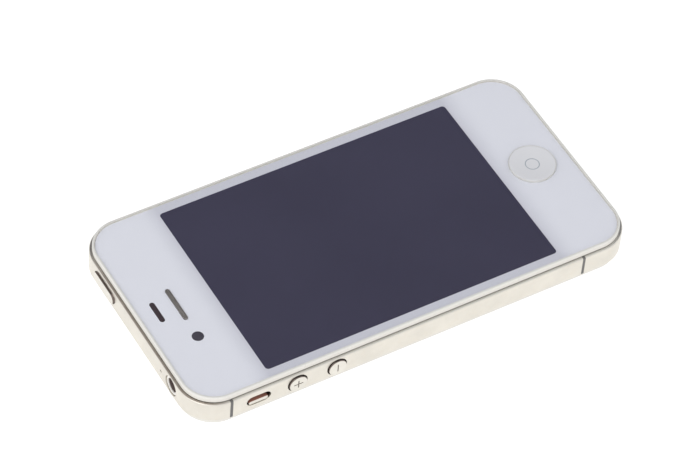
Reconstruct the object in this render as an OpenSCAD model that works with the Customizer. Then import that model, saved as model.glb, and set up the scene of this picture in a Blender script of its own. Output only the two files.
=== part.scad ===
// Glass and steel smartphone with a 3.5 inch screen, one module per separate piece.
// Millimetres. Back on z = 0, screen up, earpiece end towards +Y, SIM tray side towards +X.

/* [Body] */
// Width across the steel band
body_w = 58.6; // [56:0.1:72]
// Length over the steel band
body_l = 115.2; // [110:0.1:140]
// Thickness over both glass panels
body_t = 9.3; // [9.2:0.1:11.2]
// Radius of the band's corners in plan
corner_r = 8.77; // [7:0.01:11]
// Height of the steel band
band_h = 5.6; // [5.4:0.1:6.8]
// Wall thickness of the steel band
band_wall = 1.6; // [1.4:0.05:1.9]
// Chamfer along both edges of the band
band_chamfer = 0.2; // [0.1:0.05:0.4]
// Distance from the upper end to the upper antenna gaps
gap_from_top = 8.9; // [8.8:0.1:12]
// Distance from the lower end to the lower antenna gaps
gap_from_bottom = 14.3; // [10:0.1:16]
// Width of an antenna gap
gap_w = 0.7; // [0.5:0.05:1]

/* [Glass] */
// Thickness of each glass panel
glass_t = 0.7; // [0.5:0.05:0.9]
// Bevel round the outer edge of the glass
glass_bevel = 0.1; // [0.05:0.05:0.2]
// Step in from the band face to the plastic rim
rim_inset = 0.72; // [0.6:0.01:1.2]
// Width of the plastic rim beside the glass
rim_w = 0.55; // [0.2:0.05:0.7]
// Height of the glass above the rim
rim_drop = 0.23; // [0.1:0.01:0.35]
// Shadow groove between rim and band
rim_groove = 0.15; // [0.1:0.05:0.25]
// Printed border at each side of the screen
border_side = 3.65; // [3.4:0.05:8]
// Printed border at each end of the screen
border_end = 19.5; // [19:0.1:24]
// Corner radius of the screen window
window_r = 0.9; // [0.4:0.1:2]

/* [Front] */
// Radius of the home button
home_r = 5.5; // [4.6:0.1:6]
// Distance from the lower end to the home button's centre
home_from_end = 10.6; // [10:0.1:11.2]
// Depth of the dish in the home button
home_dish = 0.35; // [0.15:0.05:0.5]
// Length of the earpiece slot
ear_l = 9.8; // [7:0.1:11.5]
// Width of the earpiece slot
ear_w = 1.15; // [0.9:0.05:1.6]
// Distance from the upper end to the earpiece slot
ear_from_end = 10.5; // [10.2:0.1:11]
// Radius of the front camera opening
cam_front_r = 1.4; // [1:0.1:1.9]
// Offset of the front camera from the centre line
cam_front_x = 10.2; // [9.8:0.1:10.8]
// Length of the proximity window
prox_l = 6.2; // [4:0.1:7]
// Width of the proximity window
prox_w = 1.3; // [0.9:0.1:1.8]

/* [Buttons] */
// Radius of the volume button holes
vol_hole_r = 2.5; // [2.2:0.05:2.6]
// Distance from the upper end to the volume up button
vol_up_from_top = 25.6; // [25:0.1:26.5]
// Spacing of the two volume buttons
vol_pitch = 10.1; // [8:0.1:14]
// Height of the volume buttons above the band
vol_proud = 0.45; // [0.2:0.05:0.6]
// Clearance round a volume button in its hole
vol_gap = 0.24; // [0.1:0.01:0.3]
// Length of the silent switch slot
mute_l = 6.1; // [5.4:0.1:6.6]
// Width of the silent switch slot
mute_w = 2.8; // [2.6:0.05:3]
// Distance from the upper end to the silent switch
mute_from_top = 15.75; // [15.4:0.05:16]
// Length of the power button slot
power_l = 9.8; // [8:0.1:11]
// Width of the power button slot
power_w = 3.4; // [2.8:0.1:3.6]
// Offset of the power button from the centre line
power_x = 14.7; // [14:0.1:15]
// Height of the power button above the band
power_proud = 0.45; // [0.2:0.05:0.6]
// Clearance round a moving button in its hole
button_gap = 0.14; // [0.1:0.01:0.2]
// Press travel of the side and power buttons
press = 0.4; // [0.2:0.05:0.4]
// Press travel of the home button
home_press = 0.35; // [0.2:0.05:0.35]

/* [Openings] */
// Radius of the headphone socket bore
jack_r = 1.8; // [1.75:0.05:2]
// Outer radius of the collar round the headphone socket
collar_r = 2.45; // [2.2:0.05:2.5]
// Offset of the headphone socket from the centre line
jack_x = 17.25; // [17:0.05:17.6]
// Depth of the headphone socket behind the band
jack_depth = 13; // [12:0.5:14]
// Width of the dock opening
dock_w = 22; // [18:0.5:22]
// Height of the dock opening
dock_h = 2.6; // [2.2:0.1:2.8]
// Length of each grille beside the dock
grille_l = 6.4; // [5:0.1:7]
// Height of each grille
grille_h = 1.9; // [1.4:0.1:2.4]
// Offset of the grilles from the centre line
grille_x = 18.2; // [18:0.1:18.8]
// Radius of the rear camera window ring
cam_ring_r = 3.6; // [3.4:0.1:4]
// Offset of the rear camera from the side of the band
cam_from_side = 10.4; // [10.2:0.1:11]
// Offset of the rear camera from the upper end
cam_from_top = 9; // [8.9:0.1:9.4]
// Distance from the rear camera to the flash
flash_dx = 8.5; // [8.4:0.1:9]
// Radius of the flash window
flash_r = 1.9; // [1.5:0.1:2.1]

/* [SIM tray] */
// Length of the tray's face plate
sim_face_l = 19.4; // [18.8:0.1:20]
// Height of the tray's face plate
sim_face_h = 2.4; // [2.2:0.1:2.5]
// Thickness of the tray's face plate
sim_face_t = 1.1; // [0.9:0.1:1.2]
// Position of the tray along the side, from mid-length
sim_y = 1; // [-1:0.1:2]
// Clearance round the tray
sim_gap = 0.1; // [0.08:0.01:0.12]
// Length of the SIM card
card_l = 15; // [14.8:0.1:15]
// Width of the SIM card
card_w = 12; // [11.8:0.1:12]
// Thickness of the SIM card
card_t = 0.76; // [0.7:0.02:0.8]

/* [Hidden] */
$fa = 4;
$fs = 0.15;
eps = 0.01;
fit_gap = 0.05;
free_gap = 0.1;
half_w = body_w / 2;
half_l = body_l / 2;

// levels
band_z0 = (body_t - band_h) / 2;
band_z1 = band_z0 + band_h;
mid_z = body_t / 2;
mask_t = 0.1;
mask_z = body_t - glass_t - mask_t;
floor_t = 0.4;
floor_z = glass_t + floor_t;
panel_t = 2.1;
panel_z = mask_z - panel_t;
backing_t = 0.25;
plate_t = 0.4;
plate_z1 = panel_z - backing_t;
plate_z0 = plate_z1 - plate_t;
cell_z0 = floor_z + 0.25;
cell_z1 = plate_z0 - 0.2;

// plan lines
glass_inset = rim_inset + rim_w;
glass_side_gap = 0.03;
seat_inset = 2.5;
inner_inset = seat_inset + 0.1;
wall_x = half_w - band_wall;
wall_y = half_l - band_wall;
window_w = body_w - 2 * border_side;
window_l = body_l - 2 * border_end;
panel_w = body_w - 2 * inner_inset;
panel_margin = 1.4;
panel_l = window_l + 2 * panel_margin;
home_y = -half_l + home_from_end;
ear_y = half_l - ear_from_end;
prox_y = half_l - 5.6;
gap_top_y = half_l - gap_from_top;
gap_bottom_y = -half_l + gap_from_bottom;
reach = body_w;

// side controls
vol_up_y = half_l - vol_up_from_top;
vol_down_y = vol_up_y - vol_pitch;
mute_y = half_l - mute_from_top;
flange_t = 0.5;
flange_h = 2.9;
flange_y = 6.4;
nub_l = 0.8;
flex_x = -wall_x + free_gap + flange_t + nub_l + press + 0.7;
flex_t = 0.3;
dome_h = 0.5;
paddle_l = mute_l - 1.2;
paddle_h = mute_w * 0.36;
mute_travel = mute_w / 2 - 0.3;
paddle_z = mid_z - mute_w / 2 + paddle_h / 2 + 0.08;
carrier_x = -wall_x + 0.2;
carrier_t = 0.4;

// board and cell
board_z = mid_z - 1.75;
board_t = 0.7;
board_top = board_z + board_t;
board_x0 = 8;
board_x1 = half_w - seat_inset;
arm_x0 = 0.5;
arm_x1 = half_w - cam_from_side - 5;
arm_y1 = half_l - 4.4;
board_y1 = half_l - 14.1;
board_y0 = -half_l + 24.6;
cell_x0 = flex_x + flex_t + 0.4;
cell_x1 = 6.5;
cell_y0 = -half_l + 17.6;
cell_y1 = half_l - 17.6;
can_x0 = board_x0 + 1.5;
can_x1 = board_x1 - 1.3;
can_wall = 0.2;
can_y0 = board_y0 + 3;
can_y1 = board_y1 - 3.5;
rear_can_z = floor_z + 0.4;
front_can_z = plate_z0 - 0.2;

// SIM drawer
sim_body_h = 1.3;
sim_wall = 0.6;
sim_x1 = half_w - sim_face_t;
sim_body_w = card_w + 2 * sim_wall + 0.7;
sim_x0 = sim_x1 - sim_body_w;
sim_body_l = card_l + 2 * sim_wall + 0.1;
sim_body_y = sim_y + (sim_face_l - 0.5) / 2 - 0.25 - sim_body_l / 2;
rod_y = sim_y - sim_face_l / 2 + 1.3;
rod_r = 0.4;
rod_x0 = 12.9;
pivot = [12.3, rod_y + 2];
lever_t = 0.8;
lever_arm = 0.5;
reader_x0 = 10.6;
reader_x1 = board_x1 + 0.1;
reader_y0 = rod_y - 1.2;
reader_y1 = sim_body_y + sim_body_l / 2 + 0.4;
reader_z1 = board_top + 2;

// rear camera and flash
cam_x = half_w - cam_from_side;
cam_y = half_l - cam_from_top;
cam_body = 8.4;
flash_x = cam_x - flash_dx;
lens_r = 2.4;

// small upper parts
motor_x0 = -13.2;
motor_l = 8;
motor_r = 1.95;
motor_y = half_l - 11.6;
motor_z = floor_z + 0.4 + motor_r;
mic_x = -12.5;
jack_half = 2.65;
jack_half_w = 3.15;

// lower end
shell_wall = 0.3;
dock_depth = 6.2;
dock_y = -wall_y + dock_depth;
tongue_z = mid_z + 0.35;
tongue_y0 = -half_l + 0.7;
screw_x = dock_w / 2 + 1.9;
screw_head_r = 0.95;
box_x0 = screw_x + 1.3;
ribbon_t = 0.2;

// board fixings
screw_spots = [[board_x1 - 1.9, board_y0 + 1.5], [12, board_y1 - 1.8], [2.4, arm_y1 - 2]];

// Piece to show

// ---------------------------------------------------------------- shapes

// Rectangle with rounded corners, centred
module rounded_rect(w, l, r) {
    square([w, l - 2 * r], center = true);
    square([w - 2 * r, l], center = true);
    for (x = [-1, 1], y = [-1, 1])
        translate([x * (w / 2 - r), y * (l / 2 - r)]) circle(r);
}

// Round-ended slot along X, centred
module slot_2d(len, h) {
    square([len - h, h], center = true);
    for (s = [-1, 1]) translate([s * (len - h) / 2, 0]) circle(h / 2);
}

// Plate that follows the band's outline at a given distance inside it
module outline_plate(inset, z0, z1) {
    translate([0, 0, z0])
        linear_extrude(z1 - z0)
            rounded_rect(body_w - 2 * inset, body_l - 2 * inset, corner_r - inset);
}

// Carries a profile round the outline; profile x is measured out from the corner axis
module around_edge() {
    run_x = half_w - corner_r;
    run_y = half_l - corner_r;
    for (turn = [0, 180]) rotate([0, 0, turn]) {
        translate([run_x, 0, 0]) rotate([90, 0, 0])
            linear_extrude(height = 2 * run_y, center = true) children();
        translate([0, run_y, 0]) rotate([0, 0, 90]) rotate([90, 0, 0])
            linear_extrude(height = 2 * run_x, center = true) children();
        translate([run_x, run_y, 0]) rotate_extrude(angle = 90) children();
        translate([-run_x, run_y, 0]) rotate([0, 0, 90]) rotate_extrude(angle = 90) children();
    }
}

// Profile point from its distance inside the band face and its level
function at(inset, z) = [corner_r - inset, z];

// Slot-shaped bar through the left or right wall, standing along Y
module side_bar(x0, x1, y, z, len, h) {
    translate([x0, y, z]) rotate([90, 0, 90]) linear_extrude(x1 - x0) slot_2d(len, h);
}

// Slot-shaped bar through an end wall, lying along X
module end_bar(y0, y1, x, z, len, h) {
    translate([x, y1, z]) rotate([90, 0, 0]) linear_extrude(y1 - y0) slot_2d(len, h);
}

// Box between two corners
module box(p, q) {
    translate(p) cube([q[0] - p[0], q[1] - p[1], q[2] - p[2]]);
}

// Round bar along X or Y
module bar_x(x0, x1, y, z, r) {
    translate([x0, y, z]) rotate([0, 90, 0]) cylinder(r = r, h = x1 - x0);
}
module bar_y(y0, y1, x, z, r) {
    translate([x, y1, z]) rotate([90, 0, 0]) cylinder(r = r, h = y1 - y0);
}

// Shallow dome of a press switch, standing on z = 0
module dome(r, h) {
    ball = (r * r + h * h) / (2 * h);
    intersection() {
        translate([0, 0, h - ball]) sphere(ball);
        cylinder(r = r, h = h);
    }
}

// ---------------------------------------------------------------- glass and rims

// Glass panel lying face up with its face at level z1
module glass_panel(z1) {
    edge = glass_inset + glass_side_gap;
    outline_plate(edge, z1 - glass_t, z1 - glass_bevel);
    outline_plate(edge + glass_bevel, z1 - glass_t, z1);
    around_edge() polygon([at(edge, z1 - glass_bevel), at(edge + glass_bevel, z1),
        at(edge + 0.4, z1), at(edge + 0.4, z1 - glass_bevel)]);
}

module ear_and_home_holes(z0, z1) {
    translate([0, home_y, z0]) cylinder(r = home_r + button_gap, h = z1 - z0);
    translate([0, ear_y, z0]) linear_extrude(z1 - z0) slot_2d(ear_l, ear_w);
}

module front_glass() {
    color([0.93, 0.95, 0.97, 0.35]) difference() {
        glass_panel(body_t);
        ear_and_home_holes(mask_z, body_t + 1);
    }
}

module front_mask() {
    color([0.86, 0.87, 0.89]) difference() {
        outline_plate(glass_inset + 0.15, mask_z, mask_z + mask_t);
        ear_and_home_holes(mask_z - 1, body_t);
        translate([0, 0, mask_z - 1]) linear_extrude(3)
            rounded_rect(window_w, window_l, window_r);
        translate([-cam_front_x, ear_y, mask_z - 1]) cylinder(r = cam_front_r, h = 3);
        translate([0, prox_y, mask_z - 1]) linear_extrude(3) slot_2d(prox_l, prox_w);
    }
}

// Rim profile for the front, used upside down at the back
module rim_profile() {
    polygon([at(rim_inset, band_z1 + rim_groove), at(rim_inset, body_t - rim_drop - 0.08),
        at(rim_inset + 0.08, body_t - rim_drop), at(glass_inset, body_t - rim_drop),
        at(glass_inset, mask_z), at(seat_inset, mask_z), at(seat_inset, band_z1),
        at(rim_inset + 0.28, band_z1), at(rim_inset + 0.28, band_z1 + rim_groove)]);
}

module front_bezel() {
    color([0.88, 0.89, 0.87]) around_edge() rim_profile();
}

module rear_glass() {
    color([0.92, 0.93, 0.94]) difference() {
        translate([0, 0, glass_t]) mirror([0, 0, 1]) glass_panel(glass_t);
        translate([cam_x, cam_y, -1]) cylinder(r = cam_ring_r + fit_gap, h = glass_t + 2);
        translate([flash_x, cam_y, -1]) cylinder(r = flash_r + fit_gap, h = glass_t + 2);
    }
}

module rear_frame() {
    color([0.85, 0.86, 0.85]) difference() {
        union() {
            around_edge() polygon([at(rim_inset, band_z0 - rim_groove),
                at(rim_inset, rim_drop + 0.08), at(rim_inset + 0.08, rim_drop),
                at(glass_inset, rim_drop), at(glass_inset, glass_t), at(seat_inset, glass_t),
                at(seat_inset, band_z0), at(rim_inset + 0.28, band_z0),
                at(rim_inset + 0.28, band_z0 - rim_groove)]);
            outline_plate(seat_inset - 0.5, glass_t, floor_z);
        }
        translate([cam_x, cam_y, 0]) cylinder(r = cam_ring_r + fit_gap, h = floor_z + 1);
        translate([flash_x, cam_y, 0]) cylinder(r = flash_r + fit_gap, h = floor_z + 1);
    }
}

// ---------------------------------------------------------------- steel band

module band_ring() {
    around_edge() polygon([at(0, band_z0 + band_chamfer), at(0, band_z1 - band_chamfer),
        at(band_chamfer, band_z1), at(band_wall, band_z1), at(band_wall, band_z0),
        at(band_chamfer, band_z0)]);
}

// Keeps the part of its children between two levels along Y and on one side of X = 0
module keep(x0, x1, y0, y1) {
    intersection() {
        children();
        box([x0, y0, -1], [x1, y1, body_t + 1]);
    }
}

module band_top() {
    color([0.80, 0.79, 0.76]) difference() {
        keep(-reach, reach, gap_top_y + gap_w / 2, body_l) band_ring();
        bar_y(wall_y - 1, half_l + 1, -jack_x, mid_z, collar_r + fit_gap);
        bar_y(wall_y - 1, half_l + 1, mic_x, mid_z, 0.35);
        end_bar(wall_y - 1, half_l + 1, power_x, mid_z, power_l, power_w);
    }
}

module band_bottom() {
    color([0.80, 0.79, 0.76]) difference() {
        union() {
            keep(-reach, reach, -body_l, gap_bottom_y - gap_w / 2) band_ring();
            for (s = [-1, 1]) box([s * screw_x - 1.1, -wall_y - 0.5, mid_z - 1.2],
                [s * screw_x + 1.1, -wall_y + 1.6, mid_z + 1.0]);
        }
        translate([0, -wall_y + 1, mid_z]) rotate([90, 0, 0]) linear_extrude(band_wall + 2)
            rounded_rect(dock_w, dock_h, 0.6);
        for (s = [-1, 1]) {
            end_bar(-half_l - 1, -wall_y + 0.2, s * grille_x, mid_z, grille_l, grille_h);
            bar_y(-half_l - 1, -half_l + 0.75, s * screw_x, mid_z, screw_head_r + free_gap);
            bar_y(-half_l - 1, -wall_y + 2, s * screw_x, mid_z, 0.65);
        }
    }
}

module band_left() {
    color([0.80, 0.79, 0.76]) difference() {
        keep(-reach, 0, gap_bottom_y + gap_w / 2, gap_top_y - gap_w / 2) band_ring();
        for (y = [vol_up_y, vol_down_y]) bar_x(-half_w - 1, -wall_x + 1, y, mid_z, vol_hole_r);
        side_bar(-half_w - 1, -wall_x + 1, mute_y, mid_z, mute_l, mute_w);
    }
}

module band_right() {
    color([0.80, 0.79, 0.76]) difference() {
        keep(0, reach, gap_bottom_y + gap_w / 2, gap_top_y - gap_w / 2) band_ring();
        side_bar(wall_x - 1, half_w + 1, sim_y, mid_z, sim_face_l + 2 * sim_gap,
            sim_face_h + 2 * sim_gap);
    }
}

module antenna_spacers() {
    color([0.33, 0.32, 0.31])
        for (y = [gap_bottom_y, gap_top_y], s = [[-reach, 0], [0, reach]])
            keep(s[0], s[1], y - gap_w / 2, y + gap_w / 2) band_ring();
}

// ---------------------------------------------------------------- front parts

module home_button() {
    top = body_t - 0.1;
    rim = 0.45;
    r_dish = home_r - rim;
    ball = (r_dish * r_dish + home_dish * home_dish) / (2 * home_dish);
    glyph_z = top - home_dish - 0.02;
    color([0.85, 0.86, 0.87]) difference() {
        union() {
            translate([0, home_y, mask_z - 0.6]) cylinder(r = home_r, h = top - mask_z + 0.5);
            translate([0, home_y, top - 0.1]) cylinder(r1 = home_r, r2 = home_r - 0.1, h = 0.1);
            translate([0, home_y, mask_z - 0.75]) cylinder(r = home_r + 0.8, h = 0.5);
            translate([0, home_y, mask_z - 1.15]) cylinder(r = 1.5, h = 0.5);
        }
        translate([0, home_y, top - home_dish + ball]) sphere(ball, $fn = 720);
        translate([0, home_y, glyph_z]) difference() {
            cylinder(r = 1.75, h = 1);
            translate([0, 0, -1]) cylinder(r = 1.55, h = 3);
        }
    }
}

module home_switch() {
    tongue = 4.8;
    color([0.75, 0.62, 0.35]) translate([0, home_y, plate_z1]) {
        translate([-tongue / 2 - 0.6, -tongue / 2, 0]) cube([tongue + 1.2, tongue, 0.3]);
        translate([0, 0, 0.3]) dome(2, mask_z - 1.15 - home_press - 0.1 - plate_z1 - 0.3);
    }
}

module earpiece_mesh() {
    pitch = 0.45;
    count = 17;
    color([0.47, 0.46, 0.46]) translate([0, ear_y, 0]) difference() {
        union() {
            translate([0, 0, mask_z]) linear_extrude(0.5)
                slot_2d(ear_l - 2 * fit_gap, ear_w - 2 * fit_gap);
            translate([0, 0, mask_z - 0.15]) linear_extrude(0.15) slot_2d(ear_l + 1.2, ear_w + 1.2);
        }
        for (i = [0:count - 1], j = [-1, 1])
            translate([(i - (count - 1) / 2) * pitch + j * pitch / 4, j * 0.2, mask_z - 1])
                cylinder(r = 0.13, h = 3);
    }
}

module earpiece_receiver() {
    color([0.15, 0.15, 0.16]) translate([0, ear_y, 0]) difference() {
        translate([-6.2, -2.5, plate_z1]) cube([12.4, 5, mask_z - 0.2 - plate_z1]);
        translate([0, 0, mask_z - 0.5]) linear_extrude(1) slot_2d(ear_l, ear_w);
    }
}

module front_camera() {
    color([0.10, 0.10, 0.12]) translate([-cam_front_x, ear_y, 0]) difference() {
        union() {
            translate([-3, -3, plate_z1]) cube([6, 6, mask_z - 0.6 - plate_z1]);
            translate([0, 0, mask_z - 0.6]) cylinder(r = 2.1, h = 0.55);
        }
        translate([0, 0, mask_z - 0.35]) cylinder(r1 = 0.6, r2 = 1.1, h = 0.35);
    }
}

module proximity_sensor() {
    color([0.12, 0.09, 0.09]) translate([0, prox_y, 0]) difference() {
        translate([-3.9, -1.5, mask_z - 1.4]) cube([7.8, 3, 1.35]);
        for (x = [-1.9, 1.9]) translate([x, 0, mask_z - 0.45]) cylinder(r = 0.5, h = 1);
    }
}

module display_panel() {
    color([0.06, 0.06, 0.08]) translate([0, 0, panel_z])
        linear_extrude(panel_t) rounded_rect(panel_w, panel_l, 0.5);
}

module display_backing() {
    color([0.70, 0.71, 0.73]) translate([0, 0, plate_z1])
        linear_extrude(backing_t) rounded_rect(panel_w, panel_l, 0.5);
}

module display_ribbon() {
    x0 = cam_x - 1;
    leg_y = board_y1 - 1.4;
    color([0.55, 0.33, 0.12]) union() {
        box([x0, panel_l / 2, panel_z + 0.3], [x0 + 6, leg_y, panel_z + 0.3 + ribbon_t]);
        box([x0, leg_y - ribbon_t, board_top + 0.8], [x0 + 6, leg_y, panel_z + 0.3 + ribbon_t]);
    }
}

// ---------------------------------------------------------------- core

module mid_plate() {
    color([0.66, 0.67, 0.69]) difference() {
        outline_plate(band_wall, plate_z0, plate_z1);
        translate([0, 0, plate_z0 - 1]) {
            box([-half_w, vol_down_y - 4, 0], [flex_x + flex_t + 0.2, mute_y + 4, 3]);
            box([-jack_x - jack_half_w - 0.3, wall_y - jack_depth - 1.3, 0],
                [-jack_x + jack_half_w + 0.3, half_l, 3]);
            box([power_x - power_l / 2 - 1, wall_y - 2.7, 0],
                [power_x + power_l / 2 + 1, half_l, 3]);
            box([-dock_w / 2 - 0.5, -half_l, 0], [dock_w / 2 + 0.5, dock_y + 0.1, 3]);
            box([cam_x - 1.5, board_y1 - 2.1, 0], [cam_x + 5.5, board_y1 - 0.9, 3]);
            for (s = [-1, 1]) box([s * screw_x - 1.3, -half_l, 0],
                [s * screw_x + 1.3, -wall_y + 1.8, 3]);
        }
    }
}

module battery_cell() {
    color([0.10, 0.10, 0.11]) translate([(cell_x0 + cell_x1) / 2, (cell_y0 + cell_y1) / 2, cell_z0])
        linear_extrude(cell_z1 - cell_z0)
            rounded_rect(cell_x1 - cell_x0, cell_y1 - cell_y0, 0.8);
}

module battery_lead() {
    y0 = board_y0 + 0.3;
    color([0.60, 0.36, 0.14]) box([cell_x1, y0, board_z - 0.9 - ribbon_t],
        [cell_x1 + 11.5, y0 + 1.6, board_z - 0.9]);
}

module logic_board() {
    color([0.05, 0.17, 0.28]) difference() {
        translate([0, 0, board_z]) linear_extrude(board_t) {
            translate([board_x0, board_y0]) square([board_x1 - board_x0, board_y1 - board_y0]);
            translate([arm_x0, board_y1 - 1.5]) square([arm_x1 - arm_x0, arm_y1 - board_y1 + 1.5]);
        }
        for (p = screw_spots) translate([p[0], p[1], 0]) cylinder(r = 0.6, h = body_t);
    }
}

// Five-sided metal can, open towards the board
module can(y0, y1, z_open, z_top) {
    low = min(z_open, z_top);
    high = max(z_open, z_top);
    up = z_top > z_open ? 1 : 0;
    difference() {
        box([can_x0, y0, low], [can_x1, y1, high]);
        box([can_x0 + can_wall, y0 + can_wall, low + (up ? -1 : can_wall)],
            [can_x1 - can_wall, y1 - can_wall, high + (up ? -can_wall : 1)]);
    }
}

module rear_shields() {
    step = (can_y1 - can_y0 + 2) / 3;
    color([0.72, 0.73, 0.75]) for (i = [0:2])
        can(can_y0 + i * step, can_y0 + (i + 1) * step - 2, board_z, rear_can_z);
}

module front_shields() {
    color([0.72, 0.73, 0.75]) {
        can(can_y0, reader_y0 - 1.5, board_top, front_can_z);
        can(reader_y1 + 1.5, can_y1, board_top, front_can_z);
    }
}

module board_chips() {
    x = (can_x0 + can_x1) / 2;
    step = (can_y1 - can_y0 + 2) / 3;
    color([0.08, 0.08, 0.09]) {
        for (i = [0:2]) box([x - 6, can_y0 + (i + 0.5) * step - 7, board_z - 0.9],
            [x + 6, can_y0 + (i + 0.5) * step + 5, board_z]);
        box([x - 6, reader_y1 + 6, board_top], [x + 6, reader_y1 + 20, board_top + 0.9]);
        box([x - 5, can_y0 + 3, board_top], [x + 5, can_y0 + 13, board_top + 0.9]);
    }
}

module board_connectors() {
    color([0.82, 0.80, 0.74]) {
        for (y = [board_y1 + 0.6, board_y1 + 3.8])
            box([arm_x0 + 1, y, board_z - 0.9], [arm_x0 + 6, y + 1.8, board_z]);
        box([cell_x1 + 7, board_y0 + 0.2, board_z - 0.9],
            [cell_x1 + 11.5, board_y0 + 2, board_z]);
        box([cam_x - 1, board_y1 - 2.4, board_top], [cam_x + 5, board_y1 - 0.4, board_top + 0.8]);
    }
}

module board_screws() {
    color([0.60, 0.60, 0.62]) for (p = screw_spots) translate([p[0], p[1], 0]) difference() {
        union() {
            translate([0, 0, board_z - 0.6]) cylinder(r = 1.1, h = 0.6);
            translate([0, 0, board_z]) cylinder(r = 0.45, h = board_t + 1.4);
        }
        for (a = [0, 90]) rotate([0, 0, a]) translate([-0.7, -0.12, board_z - 1])
            cube([1.4, 0.24, 0.7]);
    }
}

module board_standoffs() {
    color([0.78, 0.68, 0.42]) for (p = screw_spots) translate([p[0], p[1], board_top])
        difference() {
            cylinder(r = 1, h = plate_z0 - board_top);
            translate([0, 0, -1]) cylinder(r = 0.5, h = plate_z0 - board_top + 0.4);
        }
}

// ---------------------------------------------------------------- side controls

// Volume button pointing towards -X, centred at y
module volume_button(y, plus) {
    face_x = -half_w - vol_proud;
    mark = 2.3;
    stroke = 0.26;
    inner = -wall_x + free_gap;
    difference() {
        union() {
            bar_x(face_x + 0.12, inner + eps, y, mid_z, vol_hole_r - vol_gap);
            translate([face_x, y, mid_z]) rotate([0, 90, 0])
                cylinder(r1 = vol_hole_r - vol_gap - 0.12, r2 = vol_hole_r - vol_gap, h = 0.12);
            box([inner, y - flange_y / 2, mid_z - flange_h / 2],
                [inner + flange_t, y + flange_y / 2, mid_z + flange_h / 2]);
            bar_x(inner + flange_t - eps, inner + flange_t + nub_l, y, mid_z, 0.8);
        }
        translate([face_x - 1, y - stroke / 2, mid_z - mark / 2]) cube([1.1, stroke, mark]);
        if (plus) translate([face_x - 1, y - mark / 2, mid_z - stroke / 2])
            cube([1.1, mark, stroke]);
    }
}

module volume_up_button() {
    color([0.83, 0.82, 0.79]) volume_button(vol_up_y, true);
}

module volume_down_button() {
    color([0.83, 0.82, 0.79]) volume_button(vol_down_y, false);
}

module silent_switch() {
    color([0.80, 0.79, 0.76]) union() {
        side_bar(-half_w + 0.15, carrier_x + eps, mute_y, paddle_z, paddle_l, paddle_h);
        box([carrier_x, mute_y - 3.6, mid_z - mute_w / 2 - mute_travel - 0.1],
            [carrier_x + carrier_t, mute_y + 3.6, mid_z + mute_w / 2 + 0.2]);
        bar_x(carrier_x + carrier_t - eps, carrier_x + carrier_t + 0.8, mute_y, paddle_z, 0.6);
    }
}

// Painted sheet above the paddle, with a skin over the paddle's upper side
module silent_marker() {
    skin = 0.1;
    color([0.42, 0.12, 0.06]) union() {
        box([carrier_x - 0.1, mute_y - 2.9, paddle_z + paddle_h / 2],
            [carrier_x, mute_y + 2.9, mid_z + mute_w / 2 + 0.1]);
        intersection() {
            difference() {
                side_bar(-half_w + 0.2, carrier_x, mute_y, paddle_z, paddle_l + 2 * skin,
                    paddle_h + 2 * skin);
                side_bar(-half_w, 0, mute_y, paddle_z, paddle_l, paddle_h);
            }
            box([-half_w, mute_y - mute_l, paddle_z + 0.3], [0, mute_y + mute_l, body_t]);
        }
    }
}

module side_flex() {
    switch_y = [vol_up_y, vol_down_y];
    color([0.58, 0.36, 0.15]) union() {
        box([flex_x, vol_down_y - 3.5, mid_z - 2], [flex_x + flex_t, mute_y + 3.5, mid_z + 1.2]);
        for (y = switch_y) translate([flex_x, y, mid_z]) rotate([0, -90, 0]) dome(1.4, dome_h);
        box([flex_x - 0.8, mute_y - 2.6, mid_z - 1.8], [flex_x, mute_y + 2.6, mid_z + 1.2]);
    }
}

module power_button() {
    inner = wall_y - free_gap;
    cap_l = power_l - 2 * button_gap;
    cap_h = power_w - 2 * button_gap;
    color([0.83, 0.82, 0.79]) union() {
        end_bar(inner - eps, half_l + power_proud, power_x, mid_z, cap_l, cap_h);
        box([power_x - power_l / 2 - 0.6, inner - flange_t, mid_z - flange_h / 2],
            [power_x + power_l / 2 + 0.6, inner, mid_z + flange_h / 2]);
        bar_y(inner - flange_t - nub_l, inner - flange_t + eps, power_x, mid_z, 0.9);
    }
}

module power_switch() {
    base = wall_y - free_gap - flange_t - nub_l - press - 0.5;
    color([0.58, 0.36, 0.15]) union() {
        box([power_x - 4.8, base - 0.3, mid_z - 1.4], [power_x + 4.8, base, mid_z + 1]);
        translate([power_x, base, mid_z]) rotate([-90, 0, 0]) dome(1.3, 0.4);
    }
}

// ---------------------------------------------------------------- SIM drawer

module sim_tray() {
    z0 = mid_z - sim_body_h / 2;
    y0 = sim_body_y - sim_body_l / 2;
    ledge = 1;
    color([0.80, 0.79, 0.76]) difference() {
        union() {
            side_bar(sim_x1, half_w, sim_y, mid_z, sim_face_l, sim_face_h);
            box([sim_x0, y0, z0], [sim_x1 + eps, y0 + sim_body_l, z0 + sim_body_h]);
        }
        box([sim_x0 + sim_wall, y0 + sim_wall, z0 + 0.25],
            [sim_x0 + sim_wall + card_w + 0.1, y0 + sim_body_l - sim_wall, z0 + 3]);
        box([sim_x0 + sim_wall + ledge, y0 + sim_wall + ledge, z0 - 1],
            [sim_x0 + sim_wall + card_w + 0.1 - ledge, y0 + sim_body_l - sim_wall - ledge, z0 + 3]);
        bar_x(sim_x1 - 1, half_w + 1, rod_y, mid_z, 0.6);
    }
}

module sim_card() {
    z0 = mid_z - sim_body_h / 2 + 0.25;
    x0 = sim_x0 + sim_wall + fit_gap;
    y0 = sim_body_y - card_l / 2;
    cut = 2.5;
    color([0.90, 0.90, 0.88]) translate([0, 0, z0]) linear_extrude(card_t)
        polygon([[x0, y0], [x0 + card_w, y0], [x0 + card_w, y0 + card_l],
            [x0 + cut, y0 + card_l], [x0, y0 + card_l - cut]]);
}

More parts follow.
